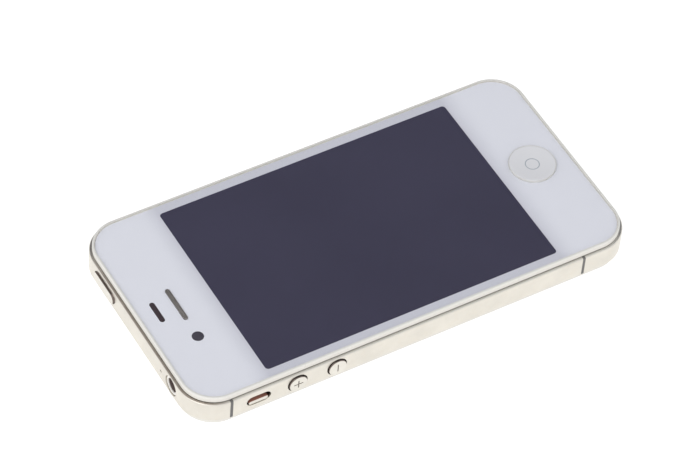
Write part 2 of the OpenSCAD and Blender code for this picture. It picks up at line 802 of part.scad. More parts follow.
module sim_reader() {
    wall = 0.2;
    divider_y = sim_body_y - sim_body_l / 2 - 0.5;
    color([0.74, 0.75, 0.77]) union() {
        box([reader_x0, reader_y0, board_top], [reader_x1, reader_y1, board_top + wall]);
        box([reader_x0, reader_y0, reader_z1 - wall], [reader_x1, reader_y1, reader_z1]);
        box([reader_x0, reader_y0, board_top], [reader_x1, reader_y0 + wall, reader_z1]);
        box([reader_x0, reader_y1 - wall, board_top], [reader_x1, reader_y1, reader_z1]);
        box([sim_x0 + 1.2, divider_y, board_top], [reader_x1, divider_y + wall, reader_z1]);
        translate([pivot[0], pivot[1], board_top]) cylinder(r = 0.4, h = reader_z1 - board_top);
    }
}

module eject_rod() {
    color([0.62, 0.62, 0.64]) bar_x(rod_x0, sim_x1 - 0.2, rod_y, mid_z, rod_r);
}

module eject_lever() {
    toe = 4.4;
    face_x = rod_x0 - free_gap;
    color([0.66, 0.66, 0.68]) translate([0, 0, mid_z - lever_t / 2]) difference() {
        union() {
            translate([pivot[0], pivot[1], 0]) cylinder(r = 1, h = lever_t);
            box([face_x - 2 * lever_arm, rod_y - 0.5, 0], [face_x, pivot[1] + toe, lever_t]);
            box([face_x - eps, pivot[1] + toe - 1, 0], [sim_x0 - 0.4, pivot[1] + toe, lever_t]);
        }
        translate([pivot[0], pivot[1], -1]) cylinder(r = 0.4 + fit_gap, h = lever_t + 2);
    }
}

// ---------------------------------------------------------------- upper end

module headphone_jack() {
    color([0.13, 0.13, 0.14]) difference() {
        intersection() {
            outline_plate(band_wall, 0, body_t);
            box([-jack_x - jack_half_w, wall_y - jack_depth - 1, mid_z - jack_half],
                [-jack_x + jack_half_w, wall_y, mid_z + jack_half]);
        }
        bar_y(wall_y - jack_depth, wall_y + 1, -jack_x, mid_z, jack_r);
    }
}

module jack_collar() {
    color([0.86, 0.86, 0.85]) difference() {
        bar_y(wall_y, half_l - 0.3, -jack_x, mid_z, collar_r);
        bar_y(wall_y - 1, half_l + 1, -jack_x, mid_z, jack_r);
    }
}

module top_microphone() {
    color([0.70, 0.66, 0.50]) box([mic_x - 1.5, wall_y - 1.7, mid_z - 1.2],
        [mic_x + 1.5, wall_y - free_gap, mid_z + 1]);
}

module vibration_motor() {
    color([0.68, 0.69, 0.71]) difference() {
        bar_x(motor_x0, motor_x0 + motor_l, motor_y, motor_z, motor_r);
        bar_x(motor_x0 + 1.5, motor_x0 + motor_l + 1, motor_y, motor_z, 0.35 + fit_gap);
    }
}

module vibration_weight() {
    x0 = motor_x0 + motor_l + 0.5;
    x1 = x0 + 3.3;
    color([0.50, 0.50, 0.53]) union() {
        bar_x(motor_x0 + 2, x1, motor_y, motor_z, 0.35);
        bar_x(x0, x1, motor_y, motor_z, 0.9);
        intersection() {
            bar_x(x0, x1, motor_y, motor_z, 2);
            box([x0, motor_y - 3, motor_z - 3], [x1, motor_y + 3, motor_z]);
        }
    }
}

module rear_camera() {
    h = cam_body / 2;
    color([0.14, 0.14, 0.15]) difference() {
        box([cam_x - h, cam_y - h, floor_z + 0.9], [cam_x + h, cam_y + h, plate_z0 - 0.3]);
        translate([cam_x, cam_y, floor_z]) cylinder(r = lens_r + free_gap, h = 3.1);
    }
}

module camera_lens() {
    color([0.07, 0.07, 0.09]) translate([cam_x, cam_y, floor_z + 0.4]) difference() {
        cylinder(r = lens_r, h = 2.5);
        translate([0, 0, -0.4]) cylinder(r1 = 1.8, r2 = 0.9, h = 0.9);
    }
}

module camera_window() {
    color([0.20, 0.22, 0.26, 0.5]) translate([cam_x, cam_y, 0.12])
        cylinder(r = cam_ring_r - 0.6, h = glass_t + 0.1 - 0.12);
}

module camera_ring() {
    color([0.68, 0.68, 0.70]) translate([cam_x, cam_y, 0]) difference() {
        translate([0, 0, 0.05]) cylinder(r = cam_ring_r, h = floor_z - 0.05);
        translate([0, 0, -1]) cylinder(r = cam_ring_r - 0.55, h = glass_t + 1.1);
        translate([0, 0, -1]) cylinder(r = cam_ring_r - 1.1, h = 4);
    }
}

module flash_led() {
    color([0.90, 0.84, 0.45]) box([flash_x - 1.5, cam_y - 1.5, floor_z + 0.2],
        [flash_x + 1.5, cam_y + 1.5, board_z]);
}

module flash_window() {
    color([0.94, 0.94, 0.88, 0.7]) translate([flash_x, cam_y, 0.05])
        cylinder(r = flash_r, h = floor_z - 0.05);
}

// ---------------------------------------------------------------- lower end

module loudspeaker() {
    color([0.12, 0.12, 0.13]) intersection() {
        outline_plate(seat_inset + 0.2, 0, body_t);
        box([box_x0, -wall_y + 0.3, cell_z0], [half_w, board_y0 - 2.5, cell_z1]);
    }
}

module lower_antenna() {
    color([0.20, 0.20, 0.20]) intersection() {
        outline_plate(seat_inset + 0.2, 0, body_t);
        box([-half_w, -wall_y + 4, cell_z0], [-screw_x, cell_y0 - 1.5, cell_z1]);
    }
}

module dock_shell() {
    color([0.76, 0.77, 0.78]) difference() {
        translate([0, dock_y, mid_z]) rotate([90, 0, 0]) linear_extrude(dock_depth)
            rounded_rect(dock_w + 2 * shell_wall, dock_h + 2 * shell_wall, 0.9);
        translate([0, dock_y - shell_wall, mid_z]) rotate([90, 0, 0]) linear_extrude(dock_depth)
            rounded_rect(dock_w, dock_h, 0.6);
    }
}

module dock_tongue() {
    half = dock_w / 2 - 2.8;
    color([0.10, 0.10, 0.11]) box([-half, tongue_y0, tongue_z - 0.45],
        [half, dock_y - shell_wall, tongue_z + 0.45]);
}

module dock_contacts() {
    count = 30;
    pitch = (dock_w - 7.5) / (count - 1);
    color([0.85, 0.68, 0.30]) for (i = [0:count - 1])
        translate([(i - (count - 1) / 2) * pitch - 0.12, tongue_y0 + 0.5, tongue_z - 0.55])
            cube([0.24, 4.5, 0.1]);
}

module bottom_microphone() {
    color([0.70, 0.66, 0.50]) box([-grille_x - 2, -wall_y + 0.3, mid_z - 1.2],
        [-grille_x + 2, -wall_y + 2.8, mid_z + 0.9]);
}

module end_meshes() {
    color([0.25, 0.25, 0.26]) intersection() {
        outline_plate(band_wall, 0, body_t);
        for (s = [-1, 1]) translate([s * grille_x, -wall_y + 0.2, mid_z]) rotate([90, 0, 0])
            linear_extrude(0.2) difference() {
                slot_2d(grille_l + 0.8, grille_h + 0.3);
                for (i = [-5:5], j = [-1, 1]) translate([i * 0.5 + j * 0.12, j * 0.35]) circle(0.15);
            }
    }
}

module end_screws() {
    head = 0.6;
    y0 = -half_l + 0.1;
    color([0.70, 0.70, 0.71]) for (s = [-1, 1]) difference() {
        union() {
            bar_y(y0, y0 + head, s * screw_x, mid_z, screw_head_r);
            bar_y(y0 + head - eps, -wall_y + 1.4, s * screw_x, mid_z, 0.58);
        }
        for (a = [0, 90]) translate([s * screw_x, y0, mid_z]) rotate([0, a, 0])
            cube([1.2, 0.6, 0.22], center = true);
    }
}

// ---------------------------------------------------------------- pieces shown

front_glass();
front_mask();
front_bezel();
rear_glass();
rear_frame();
band_top();
band_bottom();
band_left();
band_right();
antenna_spacers();
home_button();
home_switch();
earpiece_mesh();
earpiece_receiver();
front_camera();
proximity_sensor();
display_panel();
display_backing();
display_ribbon();
mid_plate();
battery_cell();
battery_lead();
logic_board();
rear_shields();
front_shields();
board_chips();
board_connectors();
board_screws();
board_standoffs();
volume_up_button();
volume_down_button();
silent_switch();
silent_marker();
side_flex();
power_button();
power_switch();
sim_tray();
sim_card();
sim_reader();
eject_rod();
eject_lever();
headphone_jack();
jack_collar();
top_microphone();
vibration_motor();
vibration_weight();
rear_camera();
camera_lens();
camera_window();
camera_ring();
flash_led();
flash_window();
loudspeaker();
lower_antenna();
dock_shell();
dock_tongue();
dock_contacts();
bottom_microphone();
end_meshes();
end_screws();
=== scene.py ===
import math

import bmesh
import bpy
from bpy.props import FloatProperty, FloatVectorProperty, IntProperty, PointerProperty
from bpy.types import Operator, Panel, PropertyGroup
from mathutils import Matrix, Quaternion, Vector


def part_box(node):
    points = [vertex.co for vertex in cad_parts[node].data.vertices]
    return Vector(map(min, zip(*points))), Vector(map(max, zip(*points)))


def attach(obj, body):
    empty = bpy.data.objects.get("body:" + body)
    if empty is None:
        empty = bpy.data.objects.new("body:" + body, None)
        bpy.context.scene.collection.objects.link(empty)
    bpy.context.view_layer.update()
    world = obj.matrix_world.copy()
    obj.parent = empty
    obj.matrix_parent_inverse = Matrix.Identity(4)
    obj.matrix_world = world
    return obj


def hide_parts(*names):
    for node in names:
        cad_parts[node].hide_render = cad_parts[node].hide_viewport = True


bl_info = {
    "name": "Glass and steel smartphone",
    "version": (1, 0, 0),
    "blender": (4, 5, 0),
    "location": "View3D > Sidebar > Phone",
    "description": "Glass panels, woven grilles, turned parts and finishes for the phone",
    "category": "Object",
}

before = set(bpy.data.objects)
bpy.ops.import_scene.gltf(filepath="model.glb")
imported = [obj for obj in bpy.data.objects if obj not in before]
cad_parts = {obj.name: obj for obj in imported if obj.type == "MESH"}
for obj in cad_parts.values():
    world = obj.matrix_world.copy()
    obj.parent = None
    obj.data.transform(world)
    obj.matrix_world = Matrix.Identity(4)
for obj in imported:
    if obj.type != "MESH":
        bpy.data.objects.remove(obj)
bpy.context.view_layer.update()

MM = 0.001
SHARP = math.radians(35)
SIDES = 96
CORNER_STEPS = 20


def opaque(colour):
    """Colour with full alpha."""
    return (*colour[:3], 1.0)


def node_box(name):
    """Middle and half size of a CAD node."""
    low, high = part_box(name)
    return (low + high) / 2, (high - low) / 2


# ------------------------------------------------------------------ settings

def size_setting(label, text, value):
    """Length in metres."""
    return FloatProperty(name=label, description=text, default=value, min=0, precision=5,
                         unit="LENGTH")


def colour_setting(label, text, value):
    """Linear colour."""
    return FloatVectorProperty(name=label, description=text, default=value, size=3, min=0,
                               max=1, subtype="COLOR")


class PhoneShape(PropertyGroup):
    """Roundings, openings and wires that the looks need beside the CAD model's own sizes."""

    corner_radius: size_setting("Corner radius", "Plan radius of the steel band's corners", 0.00877)
    glass_round: size_setting("Glass rounding", "Rounding of the glass panels' outer edges", 0.0001)
    hole_round: size_setting("Hole rounding", "Polished edge of the holes in the glass", 0.00006)
    rim_round: size_setting("Rim rounding", "Rounding of the rims' outer edges", 0.0003)
    steel_round: size_setting("Steel rounding", "Rounding of the steel band's edges", 0.00006)
    key_round: size_setting("Key rounding", "Rounding of the side keys' faces", 0.00014)
    home_hole: size_setting("Home hole", "Radius of the home button's hole", 0.00564)
    ear_long: size_setting("Earpiece length", "Length of the earpiece slot", 0.0098)
    ear_wide: size_setting("Earpiece width", "Width of the earpiece slot", 0.00115)
    sensor_long: size_setting("Sensor length", "Length of the sensor's opening", 0.0062)
    sensor_wide: size_setting("Sensor width", "Width of the sensor's opening", 0.0013)
    camera_hole: size_setting("Camera hole", "Radius of the front camera's opening", 0.0014)
    window_side: size_setting("Side cover", "Print over the screen's long edges", 0.00105)
    window_end: size_setting("End cover", "Print over the screen's short edges", 0.0014)
    window_corner: size_setting("Window corner", "Corner radius of the screen window", 0.0009)
    weave_pitch: size_setting("Weave pitch", "Spacing of the wires in the grilles", 0.00025)
    wire: size_setting("Wire", "Thickness of the wires in the grilles", 0.00012)
    flash_rings: IntProperty(name="Flash rings", description="Rings moulded in the flash window",
                             default=6, min=2, max=12)


class PhoneTones(PropertyGroup):
    """Colours of the visible finishes, and of the shade painted on some of them."""

    print_white: colour_setting("Print", "White layer printed under the glass", (0.758, 0.766, 0.822))
    # Painted shade: the print's tone beside the dark screen.
    print_screen_shade: colour_setting("Print beside the screen", "Print beside the dark screen",
                               (0.600, 0.603, 0.665))
    panel: colour_setting("Screen", "Screen when it is off", (0.051, 0.048, 0.080))
    rim: colour_setting("Rim", "Plastic rim round the glass", (0.735, 0.71, 0.655))
    # Painted shade: the rim's flat top and its wall beside the glass are shaded copies of its white.
    rim_top: colour_setting("Rim's top", "Flat top of the rim beside the glass", (0.70, 0.69, 0.65))
    rim_wall_shade: colour_setting("Rim's inner wall", "Painted shade on the wall beside the glass", (0.66, 0.64, 0.59))
    back_glass: colour_setting("Back glass", "White back panel", (0.72, 0.74, 0.78))
    steel: colour_setting("Steel", "Satin steel band", (0.715, 0.68, 0.61))
    # Painted shade: the band's top face, darker towards the upper end, and a dark line at the rim's
    # foot.
    steel_ledge_shade: colour_setting("Steel ledge", "Top of the band beside the rim", (0.66, 0.645, 0.61))
    steel_end_shade: colour_setting("Ledge shade at the upper end", "Top of the band at the upper end", (0.36, 0.315, 0.275))
    seam: colour_setting("Seam", "Dark line where the rim meets the band", (0.11, 0.10, 0.095))
    keys: colour_setting("Keys", "Steel keys in the band", (0.73, 0.70, 0.635))
    # Painted shade: dark tone on the keys' side walls and in the band's bores.
    key_side_shade: colour_setting("Key sides", "Turned side walls of the keys", (0.20, 0.165, 0.15))
    spacer: colour_setting("Spacer", "Antenna gap filling", (0.12, 0.115, 0.11))
    home: colour_setting("Home button", "Home button's face", (0.715, 0.715, 0.735))
    home_seal: colour_setting("Home seal", "Thin ring round the home button", (0.68, 0.67, 0.64))
    marker: colour_setting("Marker", "Paint behind the silent switch", (0.31, 0.14, 0.10))


class PhoneStage(PropertyGroup):
    """Camera, floor and light."""

    azimuth: FloatProperty(name="Azimuth", description="Camera's turn round the phone",
                           default=math.radians(-123.59), subtype="ANGLE")
    elevation: FloatProperty(name="Elevation", description="Camera's height angle",
                             default=math.radians(48.94), subtype="ANGLE")
    roll: FloatProperty(name="Roll", description="Camera's lean", default=math.radians(5.14),
                        subtype="ANGLE")
    distance: size_setting("Distance", "From the camera to the phone's middle", 0.8431)
    aim: FloatVectorProperty(name="Aim", description="Point in the middle of the view",
                             default=(0.00027, 0.00204, 0.0093), subtype="TRANSLATION")
    lens: FloatProperty(name="Focal length", description="Focal length in millimetres",
                        default=189.41, min=10)
    room: FloatProperty(name="Room light", description="Strength of the white room",
                        default=1.05, min=0)
    doorway: FloatVectorProperty(name="Dim side", description="Direction of the room's dim side",
                                 default=(0.55, -0.30, 0.75), subtype="DIRECTION")
    doorway_tone: colour_setting("Dim side's tone", "Colour of the room's dim side", (0.16, 0.16, 0.17))
    key: FloatProperty(name="Key light", description="Power of the soft box", default=3.0,
                       min=0, unit="POWER")
    key_size: size_setting("Key light's size", "Edge of the soft box", 0.7)
    key_place: FloatVectorProperty(name="Key light's place", description="Soft box's middle",
                                   default=(-0.35, 0.75, 0.9), subtype="TRANSLATION")
    floor_tone: colour_setting("Floor", "Pale floor", (0.35, 0.35, 0.35))
    floor_glow: FloatProperty(name="Floor glow", description="Light box under the floor",
                              default=0.85, min=0)


# ------------------------------------------------------------------ outlines

def corner_box(middle, half_w, half_l, radius, steps=CORNER_STEPS):
    """Rounded rectangle as a function of the distance that its edge moves inwards."""
    def points(inset=0.0):
        bend = max(radius - inset, 1e-5)
        spots = []
        for quarter, (sx, sy) in enumerate(((1, 1), (-1, 1), (-1, -1), (1, -1))):
            cx = middle[0] + sx * (half_w - inset - bend)
            cy = middle[1] + sy * (half_l - inset - bend)
            for i in range(steps + 1):
                angle = math.pi / 2 * (quarter + i / steps)
                spots.append((cx + bend * math.cos(angle), cy + bend * math.sin(angle)))
        return spots
    return points


def hole_box(middle, half_w, half_l, radius, steps=8):
    """Rounded opening whose edge moves outwards, into the plate."""
    inner = corner_box(middle, half_w, half_l, radius, steps)
    return lambda inset=0.0: inner(-inset)


def hole_round(middle, radius, sides=SIDES):
    """Round opening whose edge moves outwards, into the plate."""
    def points(inset=0.0):
        turns = [2 * math.pi * i / sides for i in range(sides)]
        reach = radius + inset
        return [(middle[0] + reach * math.cos(a), middle[1] + reach * math.sin(a)) for a in turns]
    return points


def slot_line(middle, long, wide, steps=14, outward=1):
    """Round-ended slot along X; outward is -1 for a solid bar whose edge moves inwards."""
    def points(inset=0.0):
        radius = wide / 2 + outward * inset
        reach = (long - wide) / 2
        spots = []
        for side in (1, -1):
            for i in range(steps + 1):
                angle = math.pi * (i / steps - 0.5) + (0 if side == 1 else math.pi)
                spots.append((middle[0] + side * reach + radius * math.cos(angle),
                              middle[1] + radius * math.sin(angle)))
        return spots
    return points


def bend(cx, cz, radius, start, stop, steps=4):
    """Points on an arc of a section, with angles in degrees."""
    turns = [math.radians(start + (stop - start) * i / steps) for i in range(steps + 1)]
    return [(cx + radius * math.cos(a), cz + radius * math.sin(a)) for a in turns]


# ------------------------------------------------------------------ meshes

def strip(bm, lower, upper):
    """Wall of faces between two loops with the same number of points."""
    count = len(lower)
    for i in range(count):
        j = (i + 1) % count
        bm.faces.new((lower[i], lower[j], upper[j], upper[i]))


def ring(bm, points, z):
    """Loop of points at one height."""
    return [bm.verts.new((x, y, z)) for x, y in points]


def cap(bm, rings):
    """Fills the area between an outer ring and the rings of its holes."""
    edges = []
    for loop in rings:
        for a, b in zip(loop, loop[1:] + loop[:1]):
            edges.append(bm.edges.get((a, b)) or bm.edges.new((a, b)))
    bmesh.ops.triangle_fill(bm, use_beauty=True, edges=edges)


def plate(bm, outlines, section):
    """Plate with holes. The section runs from the lower face's edge to the upper face's."""
    lows, highs = [], []
    for outline in outlines:
        rings = [ring(bm, outline(inset), z) for inset, z in section]
        for lower, upper in zip(rings, rings[1:]):
            strip(bm, lower, upper)
        lows.append(rings[0])
        highs.append(rings[-1])
    cap(bm, lows)
    cap(bm, highs)


def hoop(bm, outline, section):
    """Closed section carried round an outline."""
    rings = [ring(bm, outline(inset), z) for inset, z in section]
    for lower, upper in zip(rings, rings[1:] + rings[:1]):
        strip(bm, lower, upper)


def turned(bm, middle, axis, section, sides=SIDES):
    """Section of (radius, height) points turned round an axis through the middle."""
    lean = Vector(axis).to_track_quat("Z", "Y").to_matrix()
    loops = []
    for radius, height in section:
        if radius < 1e-9:
            loops.append([bm.verts.new(Vector(middle) + lean @ Vector((0, 0, height)))])
            continue
        loops.append([
            bm.verts.new(Vector(middle) + lean @ Vector((
                radius * math.cos(2 * math.pi * i / sides),
                radius * math.sin(2 * math.pi * i / sides), height)))
            for i in range(sides)])
    pairs = list(zip(loops, loops[1:]))
    if len(loops[0]) > 1:
        pairs.append((loops[-1], loops[0]))
    for lower, upper in pairs:
        if len(lower) == len(upper):
            strip(bm, lower, upper)
            continue
        pole, loop = (lower[0], upper) if len(lower) == 1 else (upper[0], lower)
        for a, b in zip(loop, loop[1:] + loop[:1]):
            bm.faces.new((pole, a, b))


def tube(bm, path, radius, sides=6):
    """Round wire along a short path, closed at both ends."""
    loops = []
    for i, spot in enumerate(path):
        ahead = (path[min(i + 1, len(path) - 1)] - path[max(i - 1, 0)]).normalized()
        turn = ahead.to_track_quat("Z", "Y").to_matrix()
        loops.append([
            bm.verts.new(spot + turn @ Vector((radius * math.cos(2 * math.pi * k / sides),
                                               radius * math.sin(2 * math.pi * k / sides), 0)))
            for k in range(sides)])
    for lower, upper in zip(loops, loops[1:]):
        strip(bm, lower, upper)
    bm.faces.new(loops[0])
    bm.faces.new(loops[-1])


def woven(bm, middle, along, across, long, wide, pitch, wire):
    """Plain wire weave that fills a round-ended slot."""
    out = along.cross(across)
    rows = max(1, int(wide / pitch / 2))
    cols = int(long / pitch / 2)
    straight = (long - wide) / 2

    def run(direction, other, offset, reach, phase):
        count = max(2, int(2 * reach / pitch * 4))
        path = []
        for i in range(count + 1):
            s = -reach + 2 * reach * i / count
            lift = wire * 0.5 * math.cos(math.pi * (s / pitch + phase))
            path.append(middle + direction * s + other * offset + out * lift)
        tube(bm, path, wire / 2)

    for k in range(-rows, rows + 1):
        offset = k * pitch
        if abs(offset) < wide / 2 - wire / 2:
            reach = straight + math.sqrt((wide / 2) ** 2 - offset ** 2)
            run(along, across, offset, reach, k)
    for k in range(-cols, cols + 1):
        offset = k * pitch
        over = max(0.0, abs(offset) - straight)
        if over < wide / 2 - wire:
            run(across, along, offset, math.sqrt((wide / 2) ** 2 - over ** 2), k + 1)


def shaped(maker, *settings):
    """New mesh from one of the makers above."""
    bm = bmesh.new()
    maker(bm, *settings)
    return bm


def piece(name, bm, material, body="phone", stands_for=(), angle=SHARP):
    """Turns a finished mesh into a piece that rides on a body."""
    bmesh.ops.recalc_face_normals(bm, faces=bm.faces)
    mesh = bpy.data.meshes.new(name)
    bm.to_mesh(mesh)
    bm.free()
    mesh.shade_smooth()
    mesh.set_sharp_from_angle(angle=angle)
    mesh.materials.append(material)
    made = bpy.data.objects.new(name, mesh)
    bpy.context.scene.collection.objects.link(made)
    even = made.modifiers.new("even shading", "WEIGHTED_NORMAL")
    even.keep_sharp = True
    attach(made, body)
    if stands_for:
        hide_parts(*stands_for)
    return made


def paint(material, *nodes):
    """Gives CAD nodes a finish."""
    for name in nodes:
        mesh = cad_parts[name].data
        mesh.materials.clear()
        mesh.materials.append(material)


def soften(width, *nodes):
    """Rounds the sharp edges of CAD nodes with modifiers."""
    for name in nodes:
        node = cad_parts[name]
        weld = node.modifiers.new("join faces", "WELD")
        weld.merge_threshold = 1e-7
        flat = node.modifiers.new("join flat faces", "DECIMATE")
        flat.decimate_type = "DISSOLVE"
        flat.angle_limit = math.radians(0.3)
        edge = node.modifiers.new("round edges", "BEVEL")
        edge.width = width
        edge.segments = 3
        edge.limit_method = "ANGLE"
        edge.angle_limit = math.radians(40)
        edge.use_clamp_overlap = True
        edge.harden_normals = False
        even = node.modifiers.new("even shading", "WEIGHTED_NORMAL")
        even.keep_sharp = True


# ------------------------------------------------------------------ finishes

class Finish:
    """Writes one node material."""

    def __init__(self, name):
        self.material = bpy.data.materials.new(name)
        self.material.use_nodes = True
        self.tree = self.material.node_tree
        self.tree.nodes.clear()
        self.place = self.node("ShaderNodeTexCoord").outputs["Object"]

    def node(self, kind, sockets=None, **settings):
        made = self.tree.nodes.new(kind)
        for name, value in settings.items():
            setattr(made, name, value)
        for key, value in (sockets or {}).items():
            socket = made.inputs[key]
            if isinstance(value, bpy.types.NodeSocket):
                self.tree.links.new(value, socket)
            else:
                socket.default_value = value
        return made

    def noise(self, size, detail=2.0, rough=0.5, place=None):
        """Soft noise whose blots are about size metres across."""
        return self.node("ShaderNodeTexNoise", {
            "Vector": place or self.place, "Scale": 1 / size, "Detail": detail,
            "Roughness": rough}).outputs["Fac"]

    def maths(self, operation, first, second=0.0, clamp=False):
        return self.node("ShaderNodeMath", {0: first, 1: second}, operation=operation,
                         use_clamp=clamp).outputs[0]

    def span(self, value, low, high, start=0.0, stop=1.0, smooth=False):
        """Moves a value from the range low-high to start-stop."""
        return self.node("ShaderNodeMapRange", {
            "Value": value, "From Min": low, "From Max": high, "To Min": start, "To Max": stop},
            interpolation_type="SMOOTHSTEP" if smooth else "LINEAR").outputs["Result"]

    def mixed(self, share, first, second, how="MIX"):
        made = self.node("ShaderNodeMix", data_type="RGBA", blend_type=how)
        for index, value in ((0, share), (6, first), (7, second)):
            if isinstance(value, bpy.types.NodeSocket):
                self.tree.links.new(value, made.inputs[index])
            else:
                made.inputs[index].default_value = value if index == 0 else opaque(value)
        return made.outputs[2]

    def along(self, axis):
        """Place along one axis: 0, 1 or 2."""
        return self.node("ShaderNodeSeparateXYZ", {0: self.place}).outputs[axis]

    def beyond(self, middle, half_w, half_l):
        """Distance outside a plan rectangle, nought inside it."""
        gaps = []
        for axis, half in ((0, half_w), (1, half_l)):
            off = self.maths("ABSOLUTE", self.maths("SUBTRACT", self.along(axis), middle[axis]))
            gaps.append(self.maths("MAXIMUM", self.maths("SUBTRACT", off, half), 0.0))
        gap = self.node("ShaderNodeCombineXYZ", {0: gaps[0], 1: gaps[1]}).outputs[0]
        return self.node("ShaderNodeVectorMath", {0: gap}, operation="LENGTH").outputs["Value"]

    def inset(self, radius):
        """Distance in from the band's face, square to the outline."""
        out = self.beyond((0, 0), HALF_W - radius, HALF_L - radius)
        return self.maths("SUBTRACT", radius, out)

    def bump(self, height, depth, normal=None):
        sockets = {"Height": height, "Distance": depth, "Strength": 1.0}
        if normal is not None:
            sockets["Normal"] = normal
        return self.node("ShaderNodeBump", sockets).outputs["Normal"]

    def surface(self, **sockets):
        """Principled surface; words in the socket names are joined by underscores."""
        names = {key.replace("_", " ").title().replace("Ior", "IOR"): value
                 for key, value in sockets.items()}
        return self.node("ShaderNodeBsdfPrincipled", names).outputs[0]

    def done(self, shader):
        output = self.node("ShaderNodeOutputMaterial")
        self.tree.links.new(shader, output.inputs["Surface"])
        return self.material


def satin_steel(name, colour, rough=0.36, grain=0.12 * MM, mottle=0.02, zones=None):
    """Bead-blasted steel with faint warm mottling and small scuffs."""
    f = Finish(name)
    cloud = f.noise(6 * MM, 3)
    shade = f.mixed(f.span(cloud, 0.35, 0.65), tuple(c * (1 - mottle) for c in colour),
                    tuple(min(1, c * (1 + mottle)) for c in colour))
    warm = f.mixed(f.span(f.noise(1.6 * MM, 3), 0.5, 0.75, 0, 0.35), shade,
                   (colour[0], colour[1] * 0.97, colour[2] * 0.93))
    pits = f.span(f.noise(0.45 * MM, 2), 0.72, 0.80, 0, 0.4)
    base = f.mixed(pits, warm, tuple(c * 0.5 for c in colour))
    if zones is not None:
        base = zones(f, base)
    fine = f.noise(grain, 2, 0.6)
    return f.done(f.surface(
        base_color=base, metallic=1.0,
        roughness=f.span(f.noise(0.9 * MM, 3), 0.3, 0.7, rough - 0.05, rough + 0.07),
        normal=f.bump(fine, 0.006 * MM)))


def moulded(name, colour, rough=0.4, grain=0.2 * MM, depth=0.004 * MM, vary=0.06, coat=0.0,
            specular=0.5, zones=None):
    """Moulded plastic with a fine skin and slight colour drift."""
    f = Finish(name)
    drift = f.mixed(f.span(f.noise(4 * MM, 3), 0.3, 0.7), tuple(c * (1 - vary) for c in colour),
                    tuple(min(1, c * (1 + vary)) for c in colour))
    if zones is not None:
        drift = zones(f, drift)
    return f.done(f.surface(
        base_color=drift, roughness=f.span(f.noise(0.8 * MM), 0.3, 0.7, rough - 0.06, rough + 0.06),
        coat_weight=coat, coat_roughness=0.04, specular_ior_level=specular,
        normal=f.bump(f.noise(grain, 2), depth)))


def clear_glass(name, tint=(1, 1, 1), index=1.5, rough=0.01):
    """Clear glass whose outer faces reflect and whose inner faces let light by."""
    f = Finish(name)
    through = f.node("ShaderNodeBsdfTransparent", {"Color": opaque(tint)}).outputs[0]
    ripple = f.bump(f.noise(9 * MM, 1), 0.0006 * MM)
    shine = f.node("ShaderNodeBsdfGlossy", {
        "Roughness": f.span(f.noise(14 * MM, 2), 0.45, 0.7, rough, rough + 0.03),
        "Normal": ripple}).outputs[0]
    share = f.node("ShaderNodeFresnel", {"IOR": index}).outputs[0]
    front = f.node("ShaderNodeMixShader", {0: share, 1: through, 2: shine}).outputs[0]
    plain = f.node("ShaderNodeBsdfTransparent").outputs[0]
    inner = f.node("ShaderNodeNewGeometry").outputs["Backfacing"]
    return f.done(f.node("ShaderNodeMixShader", {0: inner, 1: front, 2: plain}).outputs[0])


def border_print(name, far, screen_shade, window):
    """White print, with painted shade that darkens it beside the dark screen, where light sinks in."""
    f = Finish(name)
    middle, half_l, reach = window
    away = f.beyond(middle, HALF_W, half_l)
    # Painted shade: strongest at the screen's short edges, gone beyond the reach.
    shade_share = f.maths("POWER", f.span(away, 0.0, reach, 1.0, 0.0), 2.0)
    white = f.mixed(shade_share, far, screen_shade)
    cloud = f.mixed(f.span(f.noise(3 * MM, 4), 0.35, 0.65, 0, 0.05), white,
                    tuple(c * 0.8 for c in far))
    return f.done(f.surface(
        base_color=cloud, roughness=f.span(f.noise(0.3 * MM), 0.3, 0.7, 0.5, 0.6),
        specular_ior_level=0.2, normal=f.bump(f.noise(0.15 * MM), 0.002 * MM)))


def screen_panel(name, colour):
    """Dark screen with a soft drift of tone and a few specks of dust."""
    f = Finish(name)
    cloud = f.mixed(f.span(f.noise(30 * MM, 2), 0.3, 0.7, 0, 0.3), colour,
                    tuple(c * 1.3 for c in colour))
    dust = f.mixed(f.span(f.noise(0.7 * MM, 1), 0.80, 0.84, 0, 0.2), cloud, (0.2, 0.2, 0.22))
    return f.done(f.surface(base_color=dust, roughness=f.span(f.noise(12 * MM), 0.3, 0.7, 0.3, 0.4),
                            specular_ior_level=0.15))


def smoked_film(name, colour, share):
    """Smoked film over a sensor; share is how much of it hides what lies below."""
    f = Finish(name)
    base = f.mixed(f.span(f.noise(1.5 * MM, 2), 0.3, 0.7), colour, tuple(c * 1.2 for c in colour))
    body = f.surface(base_color=base, roughness=0.3, specular_ior_level=0.15)
    clear = f.node("ShaderNodeBsdfTransparent", {"Color": opaque(colour)}).outputs[0]
    return f.done(f.node("ShaderNodeMixShader", {0: share, 1: clear, 2: body}).outputs[0])


def circuit_board(name, colour):
    """Solder mask over copper runs, with bright pads."""
    f = Finish(name)
    runs = f.node("ShaderNodeTexBrick", {
        "Vector": f.place, "Scale": 400.0, "Color1": opaque(colour),
        "Color2": opaque(tuple(c * 1.5 for c in colour)),
        "Mortar": opaque(tuple(c * 0.6 for c in colour)), "Mortar Size": 0.03}).outputs["Color"]
    cells = f.node("ShaderNodeTexVoronoi", {"Vector": f.place, "Scale": 900.0}).outputs["Distance"]
    pads = f.span(cells, 0.16, 0.2, 1, 0)
    base = f.mixed(pads, runs, (0.75, 0.55, 0.22))
    return f.done(f.surface(base_color=base, roughness=0.35, metallic=f.maths("MULTIPLY", pads, 0.9),
                            normal=f.bump(pads, 0.02 * MM)))


